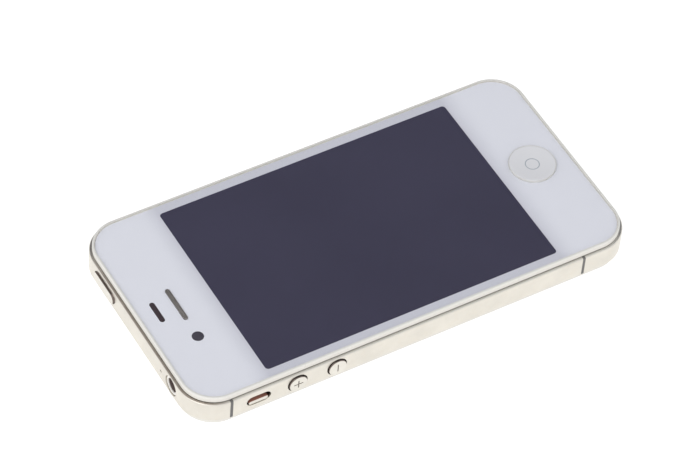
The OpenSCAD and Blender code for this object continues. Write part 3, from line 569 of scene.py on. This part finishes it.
def flex_strip(name, colour):
    """Amber film with copper runs inside."""
    f = Finish(name)
    bands = f.node("ShaderNodeTexWave", {"Vector": f.place, "Scale": 800.0, "Distortion": 0.4},
                   bands_direction="DIAGONAL").outputs["Fac"]
    base = f.mixed(f.span(bands, 0.55, 0.65, 0, 0.7), colour, (0.52, 0.25, 0.08))
    return f.done(f.surface(base_color=base, roughness=0.3, coat_weight=0.4,
                            normal=f.bump(bands, 0.01 * MM)))


def plated(name, colour, rough=0.25, brushed=0.08 * MM):
    """Rolled or plated metal with a faint lengthwise grain."""
    f = Finish(name)
    stretched = f.node("ShaderNodeMapping", {"Vector": f.place, "Scale": (1, 0.06, 1)}).outputs[0]
    grain = f.noise(brushed, 3, 0.6, stretched)
    base = f.mixed(f.span(grain, 0.3, 0.7), tuple(c * 0.85 for c in colour), colour)
    return f.done(f.surface(base_color=base, metallic=1.0,
                            roughness=f.span(grain, 0.3, 0.7, rough - 0.05, rough + 0.08),
                            normal=f.bump(grain, 0.002 * MM)))


def wrapped_cell(name):
    """Battery wrap: dark film with faint creases."""
    f = Finish(name)
    creases = f.noise(7 * MM, 5, 0.65)
    base = f.mixed(f.span(creases, 0.4, 0.7), (0.012, 0.012, 0.013), (0.03, 0.03, 0.032))
    return f.done(f.surface(base_color=base, roughness=f.span(creases, 0.3, 0.7, 0.3, 0.5),
                            normal=f.bump(creases, 0.08 * MM)))


def coated_lens(name, colour):
    """Dark lens glass with a coloured coating."""
    f = Finish(name)
    rim = f.node("ShaderNodeLayerWeight", {"Blend": 0.4}).outputs["Facing"]
    base = f.mixed(f.span(rim, 0.0, 0.9), colour, (0.02, 0.06, 0.07))
    drift = f.mixed(f.span(f.noise(1.2 * MM), 0.3, 0.7, 0, 0.3), base, (0.05, 0.02, 0.07))
    return f.done(f.surface(base_color=drift, roughness=0.06, coat_weight=1.0,
                            coat_roughness=0.02, specular_ior_level=0.8))


def glowing_chip(name, colour):
    """Phosphor of the flash lamp: granular and matt."""
    f = Finish(name)
    dots = f.noise(0.1 * MM, 3)
    base = f.mixed(f.span(dots, 0.3, 0.7), colour, tuple(min(1, c * 1.3) for c in colour))
    return f.done(f.surface(base_color=base, roughness=0.8, normal=f.bump(dots, 0.02 * MM)))


def back_glass_white(name, colour):
    """White panel under clear polished glass."""
    f = Finish(name)
    base = f.mixed(f.span(f.noise(20 * MM, 2), 0.3, 0.7), colour,
                   tuple(c * 0.985 for c in colour))
    return f.done(f.surface(
        base_color=base, roughness=f.span(f.noise(0.4 * MM), 0.3, 0.7, 0.4, 0.5),
        specular_ior_level=0.1, coat_weight=1.0, coat_roughness=0.015, coat_ior=1.5,
        coat_normal=f.bump(f.noise(10 * MM, 1), 0.0006 * MM)))


def home_button_white(name, colour, middle, ring_radius):
    """Smooth white plastic with a thin grey ring printed round its middle."""
    f = Finish(name)
    parts = f.node("ShaderNodeVectorMath", {0: f.place, 1: (middle.x, middle.y, 0)},
                   operation="SUBTRACT").outputs[0]
    flat = f.node("ShaderNodeVectorMath", {0: parts, 1: (1, 1, 0)},
                  operation="MULTIPLY").outputs[0]
    away = f.node("ShaderNodeVectorMath", {0: flat}, operation="LENGTH").outputs["Value"]
    line = f.span(f.maths("ABSOLUTE", f.maths("SUBTRACT", away, ring_radius)),
                  0.08 * MM, 0.12 * MM, 0.8, 0.0)
    white = f.mixed(f.span(f.noise(2 * MM, 3), 0.3, 0.7, 0, 0.3), colour,
                    tuple(c * 0.97 for c in colour))
    base = f.mixed(line, white, (0.24, 0.29, 0.34))
    return f.done(f.surface(
        base_color=base, roughness=f.span(f.noise(0.5 * MM), 0.3, 0.7, 0.28, 0.36),
        coat_weight=0.6, coat_roughness=0.06, normal=f.bump(f.noise(0.2 * MM), 0.001 * MM)))


def flash_plastic(name):
    """Frosted plastic that lets about half of the light through."""
    f = Finish(name)
    base = f.mixed(f.span(f.noise(0.6 * MM), 0.3, 0.7), (0.80, 0.80, 0.70), (0.86, 0.86, 0.78))
    clear = f.node("ShaderNodeBsdfTransparent", {"Color": (0.95, 0.94, 0.86, 1)}).outputs[0]
    body = f.surface(base_color=base, roughness=0.12, coat_weight=0.5)
    return f.done(f.node("ShaderNodeMixShader", {0: 0.55, 1: clear, 2: body}).outputs[0])


def pale_floor(name, colour, glow):
    """Pale glowing floor that can be seen through from below."""
    f = Finish(name)
    base = f.mixed(f.span(f.noise(80 * MM, 3), 0.3, 0.7, 0, 0.04), colour,
                   tuple(c * 0.9 for c in colour))
    above = f.surface(base_color=base, roughness=0.9, specular_ior_level=0.1,
                      emission_color=(1, 1, 1, 1), emission_strength=glow)
    below = f.node("ShaderNodeBsdfTransparent").outputs[0]
    under = f.node("ShaderNodeNewGeometry").outputs["Backfacing"]
    return f.done(f.node("ShaderNodeMixShader", {0: under, 1: above, 2: below}).outputs[0])


# ------------------------------------------------------------------ shared places

HALF_W = -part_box("band_left")[0].x
HALF_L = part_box("band_top")[1].y
BAND_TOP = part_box("band_left")[1].z
BAND_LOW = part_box("band_left")[0].z
FULL_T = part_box("front_glass")[1].z
MID_Z = (BAND_TOP + BAND_LOW) / 2


def body_outline(shape, inset):
    """The phone's plan outline, moved in from the band's face."""
    return corner_box((0, 0), HALF_W - inset, HALF_L - inset, shape.corner_radius - inset)


def back_holes():
    """Openings for the rear camera's ring and the flash window."""
    holes = []
    for name, sides in (("camera_ring", SIDES), ("flash_window", 64)):
        middle, half = node_box(name)
        holes.append(hole_round(middle, half.x + 0.05 * MM, sides))
    return holes


# ------------------------------------------------------------------ operators

class PHONE_OT_stage(Operator):
    """Makes the camera, the floor and the soft studio light"""

    bl_idname = "phone.stage"
    bl_label = "Stage"
    bl_options = {"REGISTER", "UNDO"}

    def execute(self, context):
        stage = context.scene.phone_stage
        self.camera(context, stage)
        self.floor(context, stage)
        self.light(context, stage)
        return {"FINISHED"}

    def camera(self, context, stage):
        data = bpy.data.cameras.new("camera")
        data.sensor_width = 36
        data.lens = stage.lens
        data.clip_start, data.clip_end = 0.05, 10
        made = bpy.data.objects.new("camera", data)
        a, e = stage.azimuth, stage.elevation
        back = Vector((math.sin(a) * math.cos(e), -math.cos(a) * math.cos(e), math.sin(e)))
        made.rotation_mode = "QUATERNION"
        made.rotation_quaternion = (Quaternion(back, stage.roll)
                                    @ (-back).to_track_quat("-Z", "Y"))
        made.location = Vector(stage.aim) + back * stage.distance
        context.scene.collection.objects.link(made)
        context.scene.camera = made

    def floor(self, context, stage):
        bm = bmesh.new()
        bmesh.ops.create_grid(bm, x_segments=8, y_segments=8, size=3.0)
        mesh = bpy.data.meshes.new("floor")
        bm.to_mesh(mesh)
        bm.free()
        made = bpy.data.objects.new("floor", mesh)
        made.location.z = -0.00005
        context.scene.collection.objects.link(made)
        mesh.materials.append(pale_floor("pale floor", stage.floor_tone, stage.floor_glow))

    def light(self, context, stage):
        world = bpy.data.worlds.new("white room")
        world.use_nodes = True
        tree = world.node_tree
        ground = tree.nodes["Background"]
        ground.inputs["Strength"].default_value = stage.room
        sight = tree.nodes.new("ShaderNodeTexCoord").outputs["Generated"]
        facing = tree.nodes.new("ShaderNodeVectorMath")
        facing.operation = "DOT_PRODUCT"
        facing.inputs[1].default_value = Vector(stage.doorway).normalized()
        tree.links.new(sight, facing.inputs[0])
        share = tree.nodes.new("ShaderNodeMapRange")
        share.interpolation_type = "SMOOTHSTEP"
        outer_edge, inner_edge = 0.72, 0.93
        share.inputs["From Min"].default_value = outer_edge
        share.inputs["From Max"].default_value = inner_edge
        tree.links.new(facing.outputs["Value"], share.inputs["Value"])
        shade = tree.nodes.new("ShaderNodeMix")
        shade.data_type = "RGBA"
        shade.inputs[6].default_value = (0.97, 0.98, 1.0, 1)
        shade.inputs[7].default_value = opaque(stage.doorway_tone)
        tree.links.new(share.outputs["Result"], shade.inputs[0])
        tree.links.new(shade.outputs[2], ground.inputs["Color"])
        context.scene.world = world
        data = bpy.data.lights.new("soft box", "AREA")
        data.size = stage.key_size
        data.energy = stage.key
        made = bpy.data.objects.new("soft box", data)
        made.location = stage.key_place
        made.rotation_mode = "QUATERNION"
        made.rotation_quaternion = Vector(made.location).to_track_quat("Z", "Y")
        context.scene.collection.objects.link(made)
        context.scene.view_settings.view_transform = "Standard"


class PHONE_OT_front_glass(Operator):
    """Builds the clear front panel and the white print under it, with painted shade beside the screen
    """

    bl_idname = "phone.front_glass"
    bl_label = "Front glass and print"
    bl_options = {"REGISTER", "UNDO"}

    def execute(self, context):
        shape, tones = context.scene.phone_shape, context.scene.phone_tones
        low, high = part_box("front_glass")
        inset = HALF_W - high.x
        home, _ = node_box("home_button")
        home_hole = hole_round(home, shape.home_hole)
        ear, _ = node_box("earpiece_mesh")
        ear_hole = slot_line(ear, shape.ear_long, shape.ear_wide)
        soft, small = shape.glass_round, shape.hole_round
        section = (bend(small, low.z + small, small, 270, 180, 3)
                   + bend(soft, high.z - soft, soft, 180, 90, 5))
        piece("front_cover",
              shaped(plate, [body_outline(shape, inset), home_hole, ear_hole], section),
              clear_glass("clear cover glass", index=1.32),
              stands_for=["front_glass"])

        low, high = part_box("front_mask")
        panel, panel_half = node_box("display_panel")
        window = (panel, panel_half.x - shape.window_side, panel_half.y - shape.window_end)
        camera, _ = node_box("front_camera")
        sensor, _ = node_box("proximity_sensor")
        holes = [home_hole, ear_hole, hole_box(*window, shape.window_corner),
                 hole_round(camera, shape.camera_hole, 48),
                 slot_line(sensor, shape.sensor_long, shape.sensor_wide)]
        below_glass, gap, reach = 0.015 * MM, 0.02 * MM, 5.5 * MM
        levels = [(0, low.z), (0, high.z - below_glass)]
        # How far the painted shade on the print reaches from the screen.
        glow = ((panel.x, panel.y), window[2], reach)
        piece("border_print",
              shaped(plate, [body_outline(shape, HALF_W - high.x), *holes], levels),
              border_print("border print with painted shade", tones.print_white, tones.print_screen_shade, glow),
              stands_for=["front_mask"])
        bar = slot_line(sensor, shape.sensor_long - 2 * gap, shape.sensor_wide - 2 * gap,
                        outward=-1)
        films = (("sensor_film", bar, smoked_film("sensor film", (0.060, 0.044, 0.051), 0.9)),
                 ("camera_film", hole_round(camera, shape.camera_hole - gap, 48),
                  smoked_film("camera film", (0.085, 0.079, 0.100), 0.75)))
        for name, outline, finish in films:
            piece(name, shaped(plate, [outline], levels), finish)
        paint(screen_panel("dark screen", tones.panel), "display_panel")
        return {"FINISHED"}


class PHONE_OT_rims(Operator):
    """Builds the plastic rims that hold the two glass panels"""

    bl_idname = "phone.rims"
    bl_label = "Plastic rims"
    bl_options = {"REGISTER", "UNDO"}

    def execute(self, context):
        shape, tones = context.scene.phone_shape, context.scene.phone_tones
        glass_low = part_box("front_glass")[0].z - 0.1 * MM
        rim_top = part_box("front_bezel")[1].z - FULL_T / 2
        inner = HALF_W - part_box("front_glass")[1].x - 0.03 * MM

        def rim_shade_zones(f, base):
            """Painted shade: the wall beside the glass is darker than the face, and the flat top is a
            shaded copy of the rim's white.
            """
            deep = f.span(f.inset(shape.corner_radius), inner - 0.03 * MM, inner + 0.02 * MM)
            off = f.maths("ABSOLUTE", f.maths("SUBTRACT", f.along(2), FULL_T / 2))
            wall = f.span(off, glass_low - FULL_T / 2 + 0.02 * MM,
                          glass_low - FULL_T / 2 + 0.04 * MM)
            top = f.span(off, rim_top - shape.rim_round, rim_top, smooth=True)
            face = f.mixed(top, base, tones.rim_top)
            return f.mixed(f.maths("MULTIPLY", deep, wall), face, tones.rim_wall_shade)

        finish = moulded("white rim", tones.rim, 0.32, 0.15 * MM, 0.003 * MM, 0.02,
                         zones=rim_shade_zones)
        low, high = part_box("front_bezel")
        outer = HALF_W - high.x
        soft, small = shape.rim_round, 0.04 * MM
        seat, foot, groove = 2.5 * MM, outer + 0.28 * MM, 0.15 * MM
        section = [(outer, BAND_TOP + groove)]
        section += bend(outer + soft, high.z - soft, soft, 180, 90, 8)
        section += bend(inner - small, high.z - small, small, 90, 0, 3)
        section += [(inner, glass_low), (seat, glass_low), (seat, low.z), (foot, low.z),
                    (foot, BAND_TOP + groove)]
        piece("front_rim", shaped(hoop, body_outline(shape, 0), section), finish,
              stands_for=["front_bezel"])

        floor_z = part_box("rear_frame")[1].z
        mirrored = [(inset, FULL_T - z) for inset, z in section]
        bm = bmesh.new()
        hoop(bm, body_outline(shape, 0), mirrored)
        glass_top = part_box("rear_glass")[1].z
        glue, web, lap = 0.02 * MM, 0.4 * MM, 0.01 * MM
        plate(bm, [body_outline(shape, seat - lap), *back_holes()],
              [(0, glass_top + glue), (0, min(floor_z, glass_top + web))])
        piece("back_rim", bm, finish, stands_for=["rear_frame"])
        return {"FINISHED"}


class PHONE_OT_back_glass(Operator):
    """Builds the white back panel"""

    bl_idname = "phone.back_glass"
    bl_label = "Back glass"
    bl_options = {"REGISTER", "UNDO"}

    def execute(self, context):
        shape, tones = context.scene.phone_shape, context.scene.phone_tones
        low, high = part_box("rear_glass")
        soft, small = shape.glass_round, shape.hole_round
        section = (bend(soft, low.z + soft, soft, 270, 180, 5)
                   + bend(small, high.z - small, small, 180, 90, 3))
        piece("back_cover",
              shaped(plate, [body_outline(shape, HALF_W - high.x), *back_holes()], section),
              back_glass_white("white back glass", tones.back_glass),
              stands_for=["rear_glass"])
        return {"FINISHED"}


class PHONE_OT_band(Operator):
    """Finishes the steel band, with painted shade on its ledge and in its bores, its antenna gaps and
    the SIM tray
    """

    bl_idname = "phone.band"
    bl_label = "Steel band"
    bl_options = {"REGISTER", "UNDO"}

    def execute(self, context):
        shape, tones = context.scene.phone_shape, context.scene.phone_tones
        rim_edge = HALF_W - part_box("front_bezel")[1].x
        half_band = BAND_TOP - MID_Z

        def ledge(f, base):
            """Ledge beside the rims, with painted shade: darker at the upper end, with a dark line at
            its foot.
            """
            off = f.maths("ABSOLUTE", f.maths("SUBTRACT", f.along(2), MID_Z))
            high = f.span(off, half_band - 0.12 * MM, half_band - 0.03 * MM)
            inset = f.inset(shape.corner_radius)
            # Painted shade: the ledge darkens towards the upper end, less so at the far corner.
            upper = f.span(f.along(1), HALF_L - 11 * MM, HALF_L - 3 * MM, smooth=True)
            upper = f.maths("MULTIPLY", upper, f.span(f.along(0), 14 * MM, 26 * MM, 1.0, 0.25))
            patches = f.span(f.noise(1.2 * MM, 3), 0.3, 0.7, 0.0, 0.2)
            ledge_shade = f.mixed(upper, tones.steel_ledge_shade, tones.steel_end_shade)
            patchy_ledge_shade = f.mixed(patches, ledge_shade, tones.steel)
            # Painted shade: dark line at the rim's foot.
            foot = f.mixed(f.span(inset, rim_edge - 0.03 * MM, rim_edge + 0.06 * MM), patchy_ledge_shade,
                           tones.seam)
            # Painted shade: the band's bores and inner faces take the keys' dark side tone.
            bore_shade = f.mixed(f.span(inset, 0.25 * MM, 0.45 * MM), base, tones.key_side_shade)
            return f.mixed(high, bore_shade, foot)

        paint(satin_steel("band steel", tones.steel, 0.36, mottle=0.035, zones=ledge),
              "band_top", "band_bottom", "band_left", "band_right")
        paint(satin_steel("tray steel", tones.steel, 0.34), "sim_tray")
        paint(moulded("gap plastic", tones.spacer, 0.5, 0.12 * MM, 0.006 * MM, 0.12),
              "antenna_spacers")
        soften(shape.steel_round, "band_top", "band_bottom", "band_left", "band_right",
               "sim_tray")
        return {"FINISHED"}


class PHONE_OT_home_button(Operator):
    """Turns the dished home button with its printed ring"""

    bl_idname = "phone.home_button"
    bl_label = "Home button"
    bl_options = {"REGISTER", "UNDO"}

    def execute(self, context):
        tones = context.scene.phone_tones
        middle, half = node_box("home_button")
        low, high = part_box("home_button")
        radius = half.x - 0.8 * MM
        groove = (1.55 * MM, 1.75 * MM)
        axle, up = (middle.x, middle.y, 0), (0, 0, 1)
        piece("home_key", shaped(turned, axle, up, self.key(low.z, high.z, radius, half.x, groove)),
              home_button_white("home button white", tones.home, middle, sum(groove) / 2),
              "home_button", ["home_button"])
        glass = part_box("front_glass")[0].z
        inside, top_line, outside, soft = (radius + 0.02 * MM, radius + 0.08 * MM,
                                           radius + 0.13 * MM, 0.04 * MM)
        seal = [(inside, glass), (outside, glass), (outside, high.z - soft), (top_line, high.z),
                (inside, high.z - soft)]
        piece("home_seal", shaped(turned, axle, up, seal),
              moulded("home seal", tones.home_seal, 0.5, 0.1 * MM))
        return {"FINISHED"}

    def key(self, low, high, radius, flange, groove):
        """Section of the button: a stem, a flange, a rounded lip and a dish with a ring cut in it."""
        stem, flange_low, flange_high = 1.5 * MM, low + 0.4 * MM, low + 0.9 * MM
        dish, lip, cut, soft = 0.35 * MM, radius - 0.45 * MM, 0.02 * MM, 0.1 * MM
        ball = (lip ** 2 + dish ** 2) / (2 * dish)
        groove_in, groove_out = groove

        def bowl(r):
            return high - dish + ball - math.sqrt(ball ** 2 - r ** 2)

        section = [(0, low), (stem, low), (stem, flange_low), (flange, flange_low),
                   (flange, flange_high), (radius, flange_high)]
        section += bend(radius - soft, high - soft, soft, 0, 90, 5)
        section += [(lip + 0.12 * MM, high), (lip, high - 0.012 * MM)]
        section += [(r, bowl(r)) for r in
                    [lip - (lip - groove_out) * i / 14 for i in range(1, 15)]]
        section += [(groove_out - 0.01 * MM, bowl(groove_out) - cut),
                    (groove_in + 0.01 * MM, bowl(groove_in) - cut)]
        section += [(groove_in * (1 - i / 5), bowl(groove_in * (1 - i / 5))) for i in range(5)]
        return section + [(0, bowl(0))]


class PHONE_OT_grilles(Operator):
    """Weaves the earpiece grille and the two grilles at the lower end"""

    bl_idname = "phone.grilles"
    bl_label = "Woven grilles"
    bl_options = {"REGISTER", "UNDO"}

    def execute(self, context):
        shape = context.scene.phone_shape
        self.earpiece(shape, satin_steel("grey wire", (0.50, 0.47, 0.45), 0.42, 0.03 * MM, 0.1))
        self.lower_end(shape, satin_steel("black wire", (0.06, 0.06, 0.065), 0.45, 0.03 * MM, 0.1))
        return {"FINISHED"}

    def earpiece(self, shape, finish):
        """A flanged frame with a weave across it."""
        middle, half = node_box("earpiece_mesh")
        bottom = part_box("earpiece_mesh")[0].z
        lap, wall, over = 1.3 * MM, 0.1 * MM, 0.02 * MM
        long, wide = 2 * half.x - lap, 2 * half.y - lap
        step = bottom + 0.15 * MM
        bar = slot_line(middle, long, wide, outward=-1)
        flange = slot_line(middle, 2 * half.x, 2 * half.y, outward=-1)
        bm = bmesh.new()
        for outline, inner, low, high in ((flange, lap / 2 + wall, bottom, step),
                                          (bar, wall, step, step + 0.36 * MM)):
            hoop(bm, outline, [(0, low), (0, high), (inner, high), (inner, low)])
        woven(bm, Vector((middle.x, middle.y, step + 0.22 * MM)), Vector((1, 0, 0)),
              Vector((0, 1, 0)), long - 2 * (wall - over), wide - 2 * (wall - over),
              shape.weave_pitch * 0.9, shape.wire * 0.9)
        piece("earpiece_weave", bm, finish, stands_for=["earpiece_mesh"])

    def lower_end(self, shape, finish):
        """A weave on each side of the dock socket."""
        low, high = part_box("end_meshes")
        spread, long, wide = 18.2 * MM, 7.1 * MM, 2.1 * MM
        bm = bmesh.new()
        for side in (-1, 1):
            mid = Vector((side * spread, (low.y + high.y) / 2, MID_Z))
            woven(bm, mid, Vector((1, 0, 0)), Vector((0, 0, 1)), long, wide,
                  shape.weave_pitch * 0.9, shape.wire * 1.2)
        piece("end_weave", bm, finish, stands_for=["end_meshes"])


class PHONE_OT_side_keys(Operator):
    """Finishes the volume keys, the silent switch and the power key"""

    bl_idname = "phone.side_keys"
    bl_label = "Side keys"
    bl_options = {"REGISTER", "UNDO"}

    def execute(self, context):
        shape, tones = context.scene.phone_shape, context.scene.phone_tones

        def key_steel(name, axis, face):
            """Satin face, with painted shade on the turned sides and engraved marks."""
            def zones(f, base):
                depth = f.maths("ABSOLUTE", f.maths("SUBTRACT", f.along(axis), face))
                return f.mixed(f.span(depth, 0.015 * MM, 0.05 * MM), base, tones.key_side_shade)
            return satin_steel(name, tones.keys, 0.33, 0.08 * MM, 0.03, zones=zones)

        paint(key_steel("volume key steel", 0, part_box("volume_up_button")[0].x),
              "volume_up_button", "volume_down_button")
        paint(key_steel("power key steel", 1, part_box("power_button")[1].y), "power_button")
        paint(satin_steel("switch steel", tones.keys, 0.33, 0.08 * MM, 0.03), "silent_switch")
        soften(shape.key_round, "power_button", "silent_switch")
        soften(0.04 * MM, "volume_up_button", "volume_down_button")
        paint(moulded("marker paint", tones.marker, 0.55, 0.15 * MM, 0.005 * MM, 0.2),
              "silent_marker")
        return {"FINISHED"}


class PHONE_OT_sockets(Operator):
    """Turns the headphone collar and finishes both sockets and the end screws"""

    bl_idname = "phone.sockets"
    bl_label = "Sockets and screws"
    bl_options = {"REGISTER", "UNDO"}

    def execute(self, context):
        shape = context.scene.phone_shape
        middle, half = node_box("jack_collar")
        low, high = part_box("jack_collar")
        outer, inner, soft = half.x, 1.8 * MM, 0.12 * MM
        section = [(outer, low.y)]
        section += bend(outer - soft, high.y - soft, soft, 0, 90)
        section += bend(inner + soft, high.y - soft, soft, 90, 180)
        section += [(inner, low.y)]
        lip_start, lip_end = high.y - 0.32 * MM, high.y - 0.22 * MM

        def mouth(f, base):
            """Light lip, dark behind it."""
            behind = f.span(f.along(1), lip_start, lip_end, 1, 0)
            return f.mixed(behind, base, (0.14, 0.105, 0.095))

        piece("headphone_collar",
              shaped(turned, (middle.x, 0, middle.z), (0, 1, 0), section, 64),
              moulded("collar plastic", (0.76, 0.73, 0.68), 0.35, 0.1 * MM, 0.003 * MM, 0.03,
                      zones=mouth),
              stands_for=["jack_collar"])
        paint(moulded("socket brown", (0.055, 0.043, 0.038), 0.45, 0.2 * MM, 0.006 * MM, 0.2),
              "headphone_jack")
        paint(moulded("tongue black", (0.018, 0.016, 0.016), 0.45, 0.2 * MM, 0.006 * MM, 0.2),
              "dock_tongue")
        paint(plated("dock shell steel", (0.62, 0.62, 0.61)), "dock_shell")
        paint(plated("contact gold", (0.86, 0.64, 0.28), 0.22), "dock_contacts")
        paint(satin_steel("screw steel", (0.66, 0.65, 0.63), 0.3, 0.06 * MM), "end_screws")
        soften(shape.steel_round * 0.5, "end_screws", "dock_tongue")
        return {"FINISHED"}


class PHONE_OT_cameras(Operator):
    """Turns the rear camera, its ring, lens and window, and the flash window"""

    bl_idname = "phone.cameras"
    bl_label = "Cameras and flash"
    bl_options = {"REGISTER", "UNDO"}

    def execute(self, context):
        shape = context.scene.phone_shape
        black = moulded("lens barrel black", (0.012, 0.012, 0.013), 0.35, 0.1 * MM,
                        0.003 * MM, 0.2)
        middle, half = node_box("camera_ring")
        spot = (middle.x, middle.y, 0)
        self.ring(spot, half.x)
        self.window(spot)
        self.lens(spot, black)
        self.flash(shape.flash_rings)
        paint(glowing_chip("flash phosphor", (0.75, 0.62, 0.18)), "flash_led")
        paint(black, "rear_camera")
        paint(coated_lens("front camera glass", (0.022, 0.020, 0.035)), "front_camera")
        paint(moulded("sensor window", (0.020, 0.012, 0.016), 0.2, 0.3 * MM, 0.001 * MM, 0.2),
              "proximity_sensor")
        return {"FINISHED"}

    def ring(self, spot, outer):
        """Turned steel ring with a step that seats the window."""
        low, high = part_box("camera_ring")
        soft = 0.12 * MM
        bore, eye, step = outer - 0.55 * MM, outer - 1.1 * MM, high.z - 0.3 * MM
        section = [(outer, high.z)]
        section += bend(outer - soft, low.z + soft, soft, 0, -90)
        section += bend(bore + soft, low.z + soft, soft, -90, -180)
        section += [(bore, step), (eye, step), (eye, high.z)]
        piece("camera_rim", shaped(turned, spot, (0, 0, 1), section),
              satin_steel("camera rim steel", (0.62, 0.62, 0.62), 0.24, 0.05 * MM),
              stands_for=["camera_ring"])

    def window(self, spot):
        """Flat glass disc with a chamfered edge."""
        low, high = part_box("camera_window")
        radius, chamfer = (high.x - low.x) / 2, 0.06 * MM
        section = [(0, low.z), (radius - chamfer, low.z), (radius, low.z + chamfer),
                   (radius, high.z), (0, high.z)]
        piece("camera_cover", shaped(turned, spot, (0, 0, 1), section),
              clear_glass("camera cover glass", (0.62, 0.64, 0.68)),
              stands_for=["camera_window"])

    def lens(self, spot, black):
        """Stepped barrel with a domed front lens that moves with it."""
        low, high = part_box("camera_lens")
        radius, chamfer, z = (high.x - low.x) / 2, 0.05 * MM, low.z
        section = [(0, high.z), (radius, high.z), (radius, z + chamfer), (radius - chamfer, z)]
        for mouth, floor, depth, deeper in ((1.95, 1.9, 0.0, 0.12), (1.7, 1.65, 0.12, 0.26),
                                            (1.45, 1.4, 0.26, 0.4), (1.15, 1.1, 0.4, 0.5)):
            section += [(mouth * MM, z + depth * MM), (floor * MM, z + deeper * MM)]
        section += [(0, z + 0.5 * MM)]
        barrel = piece("lens_barrel", shaped(turned, spot, (0, 0, 1), section), black,
                       "focus_lens", ["camera_lens"])
        wide, rise, foot = 1.08 * MM, 0.22 * MM, z + 0.44 * MM
        dome = [(0, foot - rise)]
        dome += [(wide * math.sin(t), foot - rise * math.cos(t))
                 for t in [math.pi / 2 * i / 10 for i in range(1, 11)]]
        dome += [(0, foot + 0.04 * MM)]
        glass = piece("lens_front", shaped(turned, spot, (0, 0, 1), dome, 48),
                      coated_lens("coated lens", (0.02, 0.03, 0.05)),
                      "focus_lens")
        glass.parent = barrel
        glass.matrix_parent_inverse = Matrix.Identity(4)

    def flash(self, rings):
        """Round window with stepped rings moulded in its face."""
        middle, half = node_box("flash_window")
        low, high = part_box("flash_window")
        soft = 0.06 * MM
        section = [(0, high.z), (half.x, high.z)]
        section += bend(half.x - soft, low.z + soft, soft, 0, -90, 3)
        edge = half.x - 0.25 * MM
        for i in range(rings):
            outside = edge * (1 - i / rings)
            inside = edge * (1 - (i + 1) / rings)
            section += [(outside, low.z + 0.02 * MM), ((outside + inside) / 2, low.z + 0.06 * MM),
                        (inside + 0.02 * MM if i < rings - 1 else 0, low.z + 0.11 * MM)]
        piece("flash_cover", shaped(turned, (middle.x, middle.y, 0), (0, 0, 1), section, 64),
              flash_plastic("flash window plastic"), stands_for=["flash_window"])


class PHONE_OT_insides(Operator):
    """Finishes the parts inside the case"""

    bl_idname = "phone.insides"
    bl_label = "Inside parts"
    bl_options = {"REGISTER", "UNDO"}

    def execute(self, context):
        plate_steel = plated("plate steel", (0.60, 0.60, 0.60), 0.3, 0.3 * MM)
        paint(plate_steel, "display_backing", "mid_plate", "sim_reader", "vibration_motor")
        paint(plated("tinned shield", (0.68, 0.68, 0.67), 0.34, 0.15 * MM), "rear_shields",
              "front_shields")
        paint(plated("fixing steel", (0.55, 0.54, 0.52), 0.25), "board_screws", "eject_rod",
              "eject_lever")
        paint(plated("brass standoff", (0.72, 0.55, 0.25), 0.28), "board_standoffs")
        paint(plated("tungsten weight", (0.36, 0.36, 0.38), 0.4, 0.2 * MM), "vibration_weight")
        paint(flex_strip("amber flex", (0.28, 0.12, 0.03)), "display_ribbon", "battery_lead",
              "side_flex", "power_switch", "home_switch")
        paint(wrapped_cell("battery wrap"), "battery_cell")
        paint(circuit_board("board mask", (0.008, 0.035, 0.085)), "logic_board")
        paint(moulded("chip resin", (0.012, 0.012, 0.013), 0.5, 0.1 * MM, 0.006 * MM, 0.2),
              "board_chips")
        paint(moulded("connector cream", (0.62, 0.58, 0.48), 0.45), "board_connectors")
        paint(moulded("black housing", (0.015, 0.015, 0.016), 0.5, 0.25 * MM, 0.01 * MM, 0.2),
              "earpiece_receiver", "loudspeaker", "lower_antenna")
        paint(moulded("card plastic", (0.78, 0.78, 0.76), 0.38, 0.2 * MM, 0.004 * MM, 0.02),
              "sim_card")
        paint(plated("microphone can", (0.70, 0.62, 0.40), 0.3), "top_microphone",
              "bottom_microphone")
        return {"FINISHED"}


STEPS = (PHONE_OT_stage, PHONE_OT_front_glass, PHONE_OT_rims, PHONE_OT_back_glass,
         PHONE_OT_band, PHONE_OT_home_button, PHONE_OT_grilles, PHONE_OT_side_keys,
         PHONE_OT_sockets, PHONE_OT_cameras, PHONE_OT_insides)


class PHONE_PT_sidebar(Panel):
    """Lists the steps that build the phone's looks"""

    bl_idname = "PHONE_PT_sidebar"
    bl_label = "Phone"
    bl_space_type = "VIEW_3D"
    bl_region_type = "UI"
    bl_category = "Phone"

    def draw(self, context):
        for group in (context.scene.phone_shape, context.scene.phone_tones,
                      context.scene.phone_stage):
            box = self.layout.box()
            for name in group.bl_rna.properties.keys():
                if name not in ("rna_type", "name"):
                    box.prop(group, name)
        for step in STEPS:
            self.layout.operator(step.bl_idname)


GROUPS = {"phone_shape": PhoneShape, "phone_tones": PhoneTones, "phone_stage": PhoneStage}


def register():
    for group in GROUPS.values():
        bpy.utils.register_class(group)
    for step in STEPS:
        bpy.utils.register_class(step)
    bpy.utils.register_class(PHONE_PT_sidebar)
    for name, group in GROUPS.items():
        setattr(bpy.types.Scene, name, PointerProperty(type=group))


def unregister():
    for name in GROUPS:
        delattr(bpy.types.Scene, name)
    for made in (PHONE_PT_sidebar, *reversed(STEPS), *GROUPS.values()):
        bpy.utils.unregister_class(made)


def main():
    register()
    for step in STEPS:
        group, name = step.bl_idname.split(".")
        if getattr(getattr(bpy.ops, group), name)() != {"FINISHED"}:
            raise RuntimeError(step.bl_label + " did not finish")


if __name__ == "__main__":
    main()
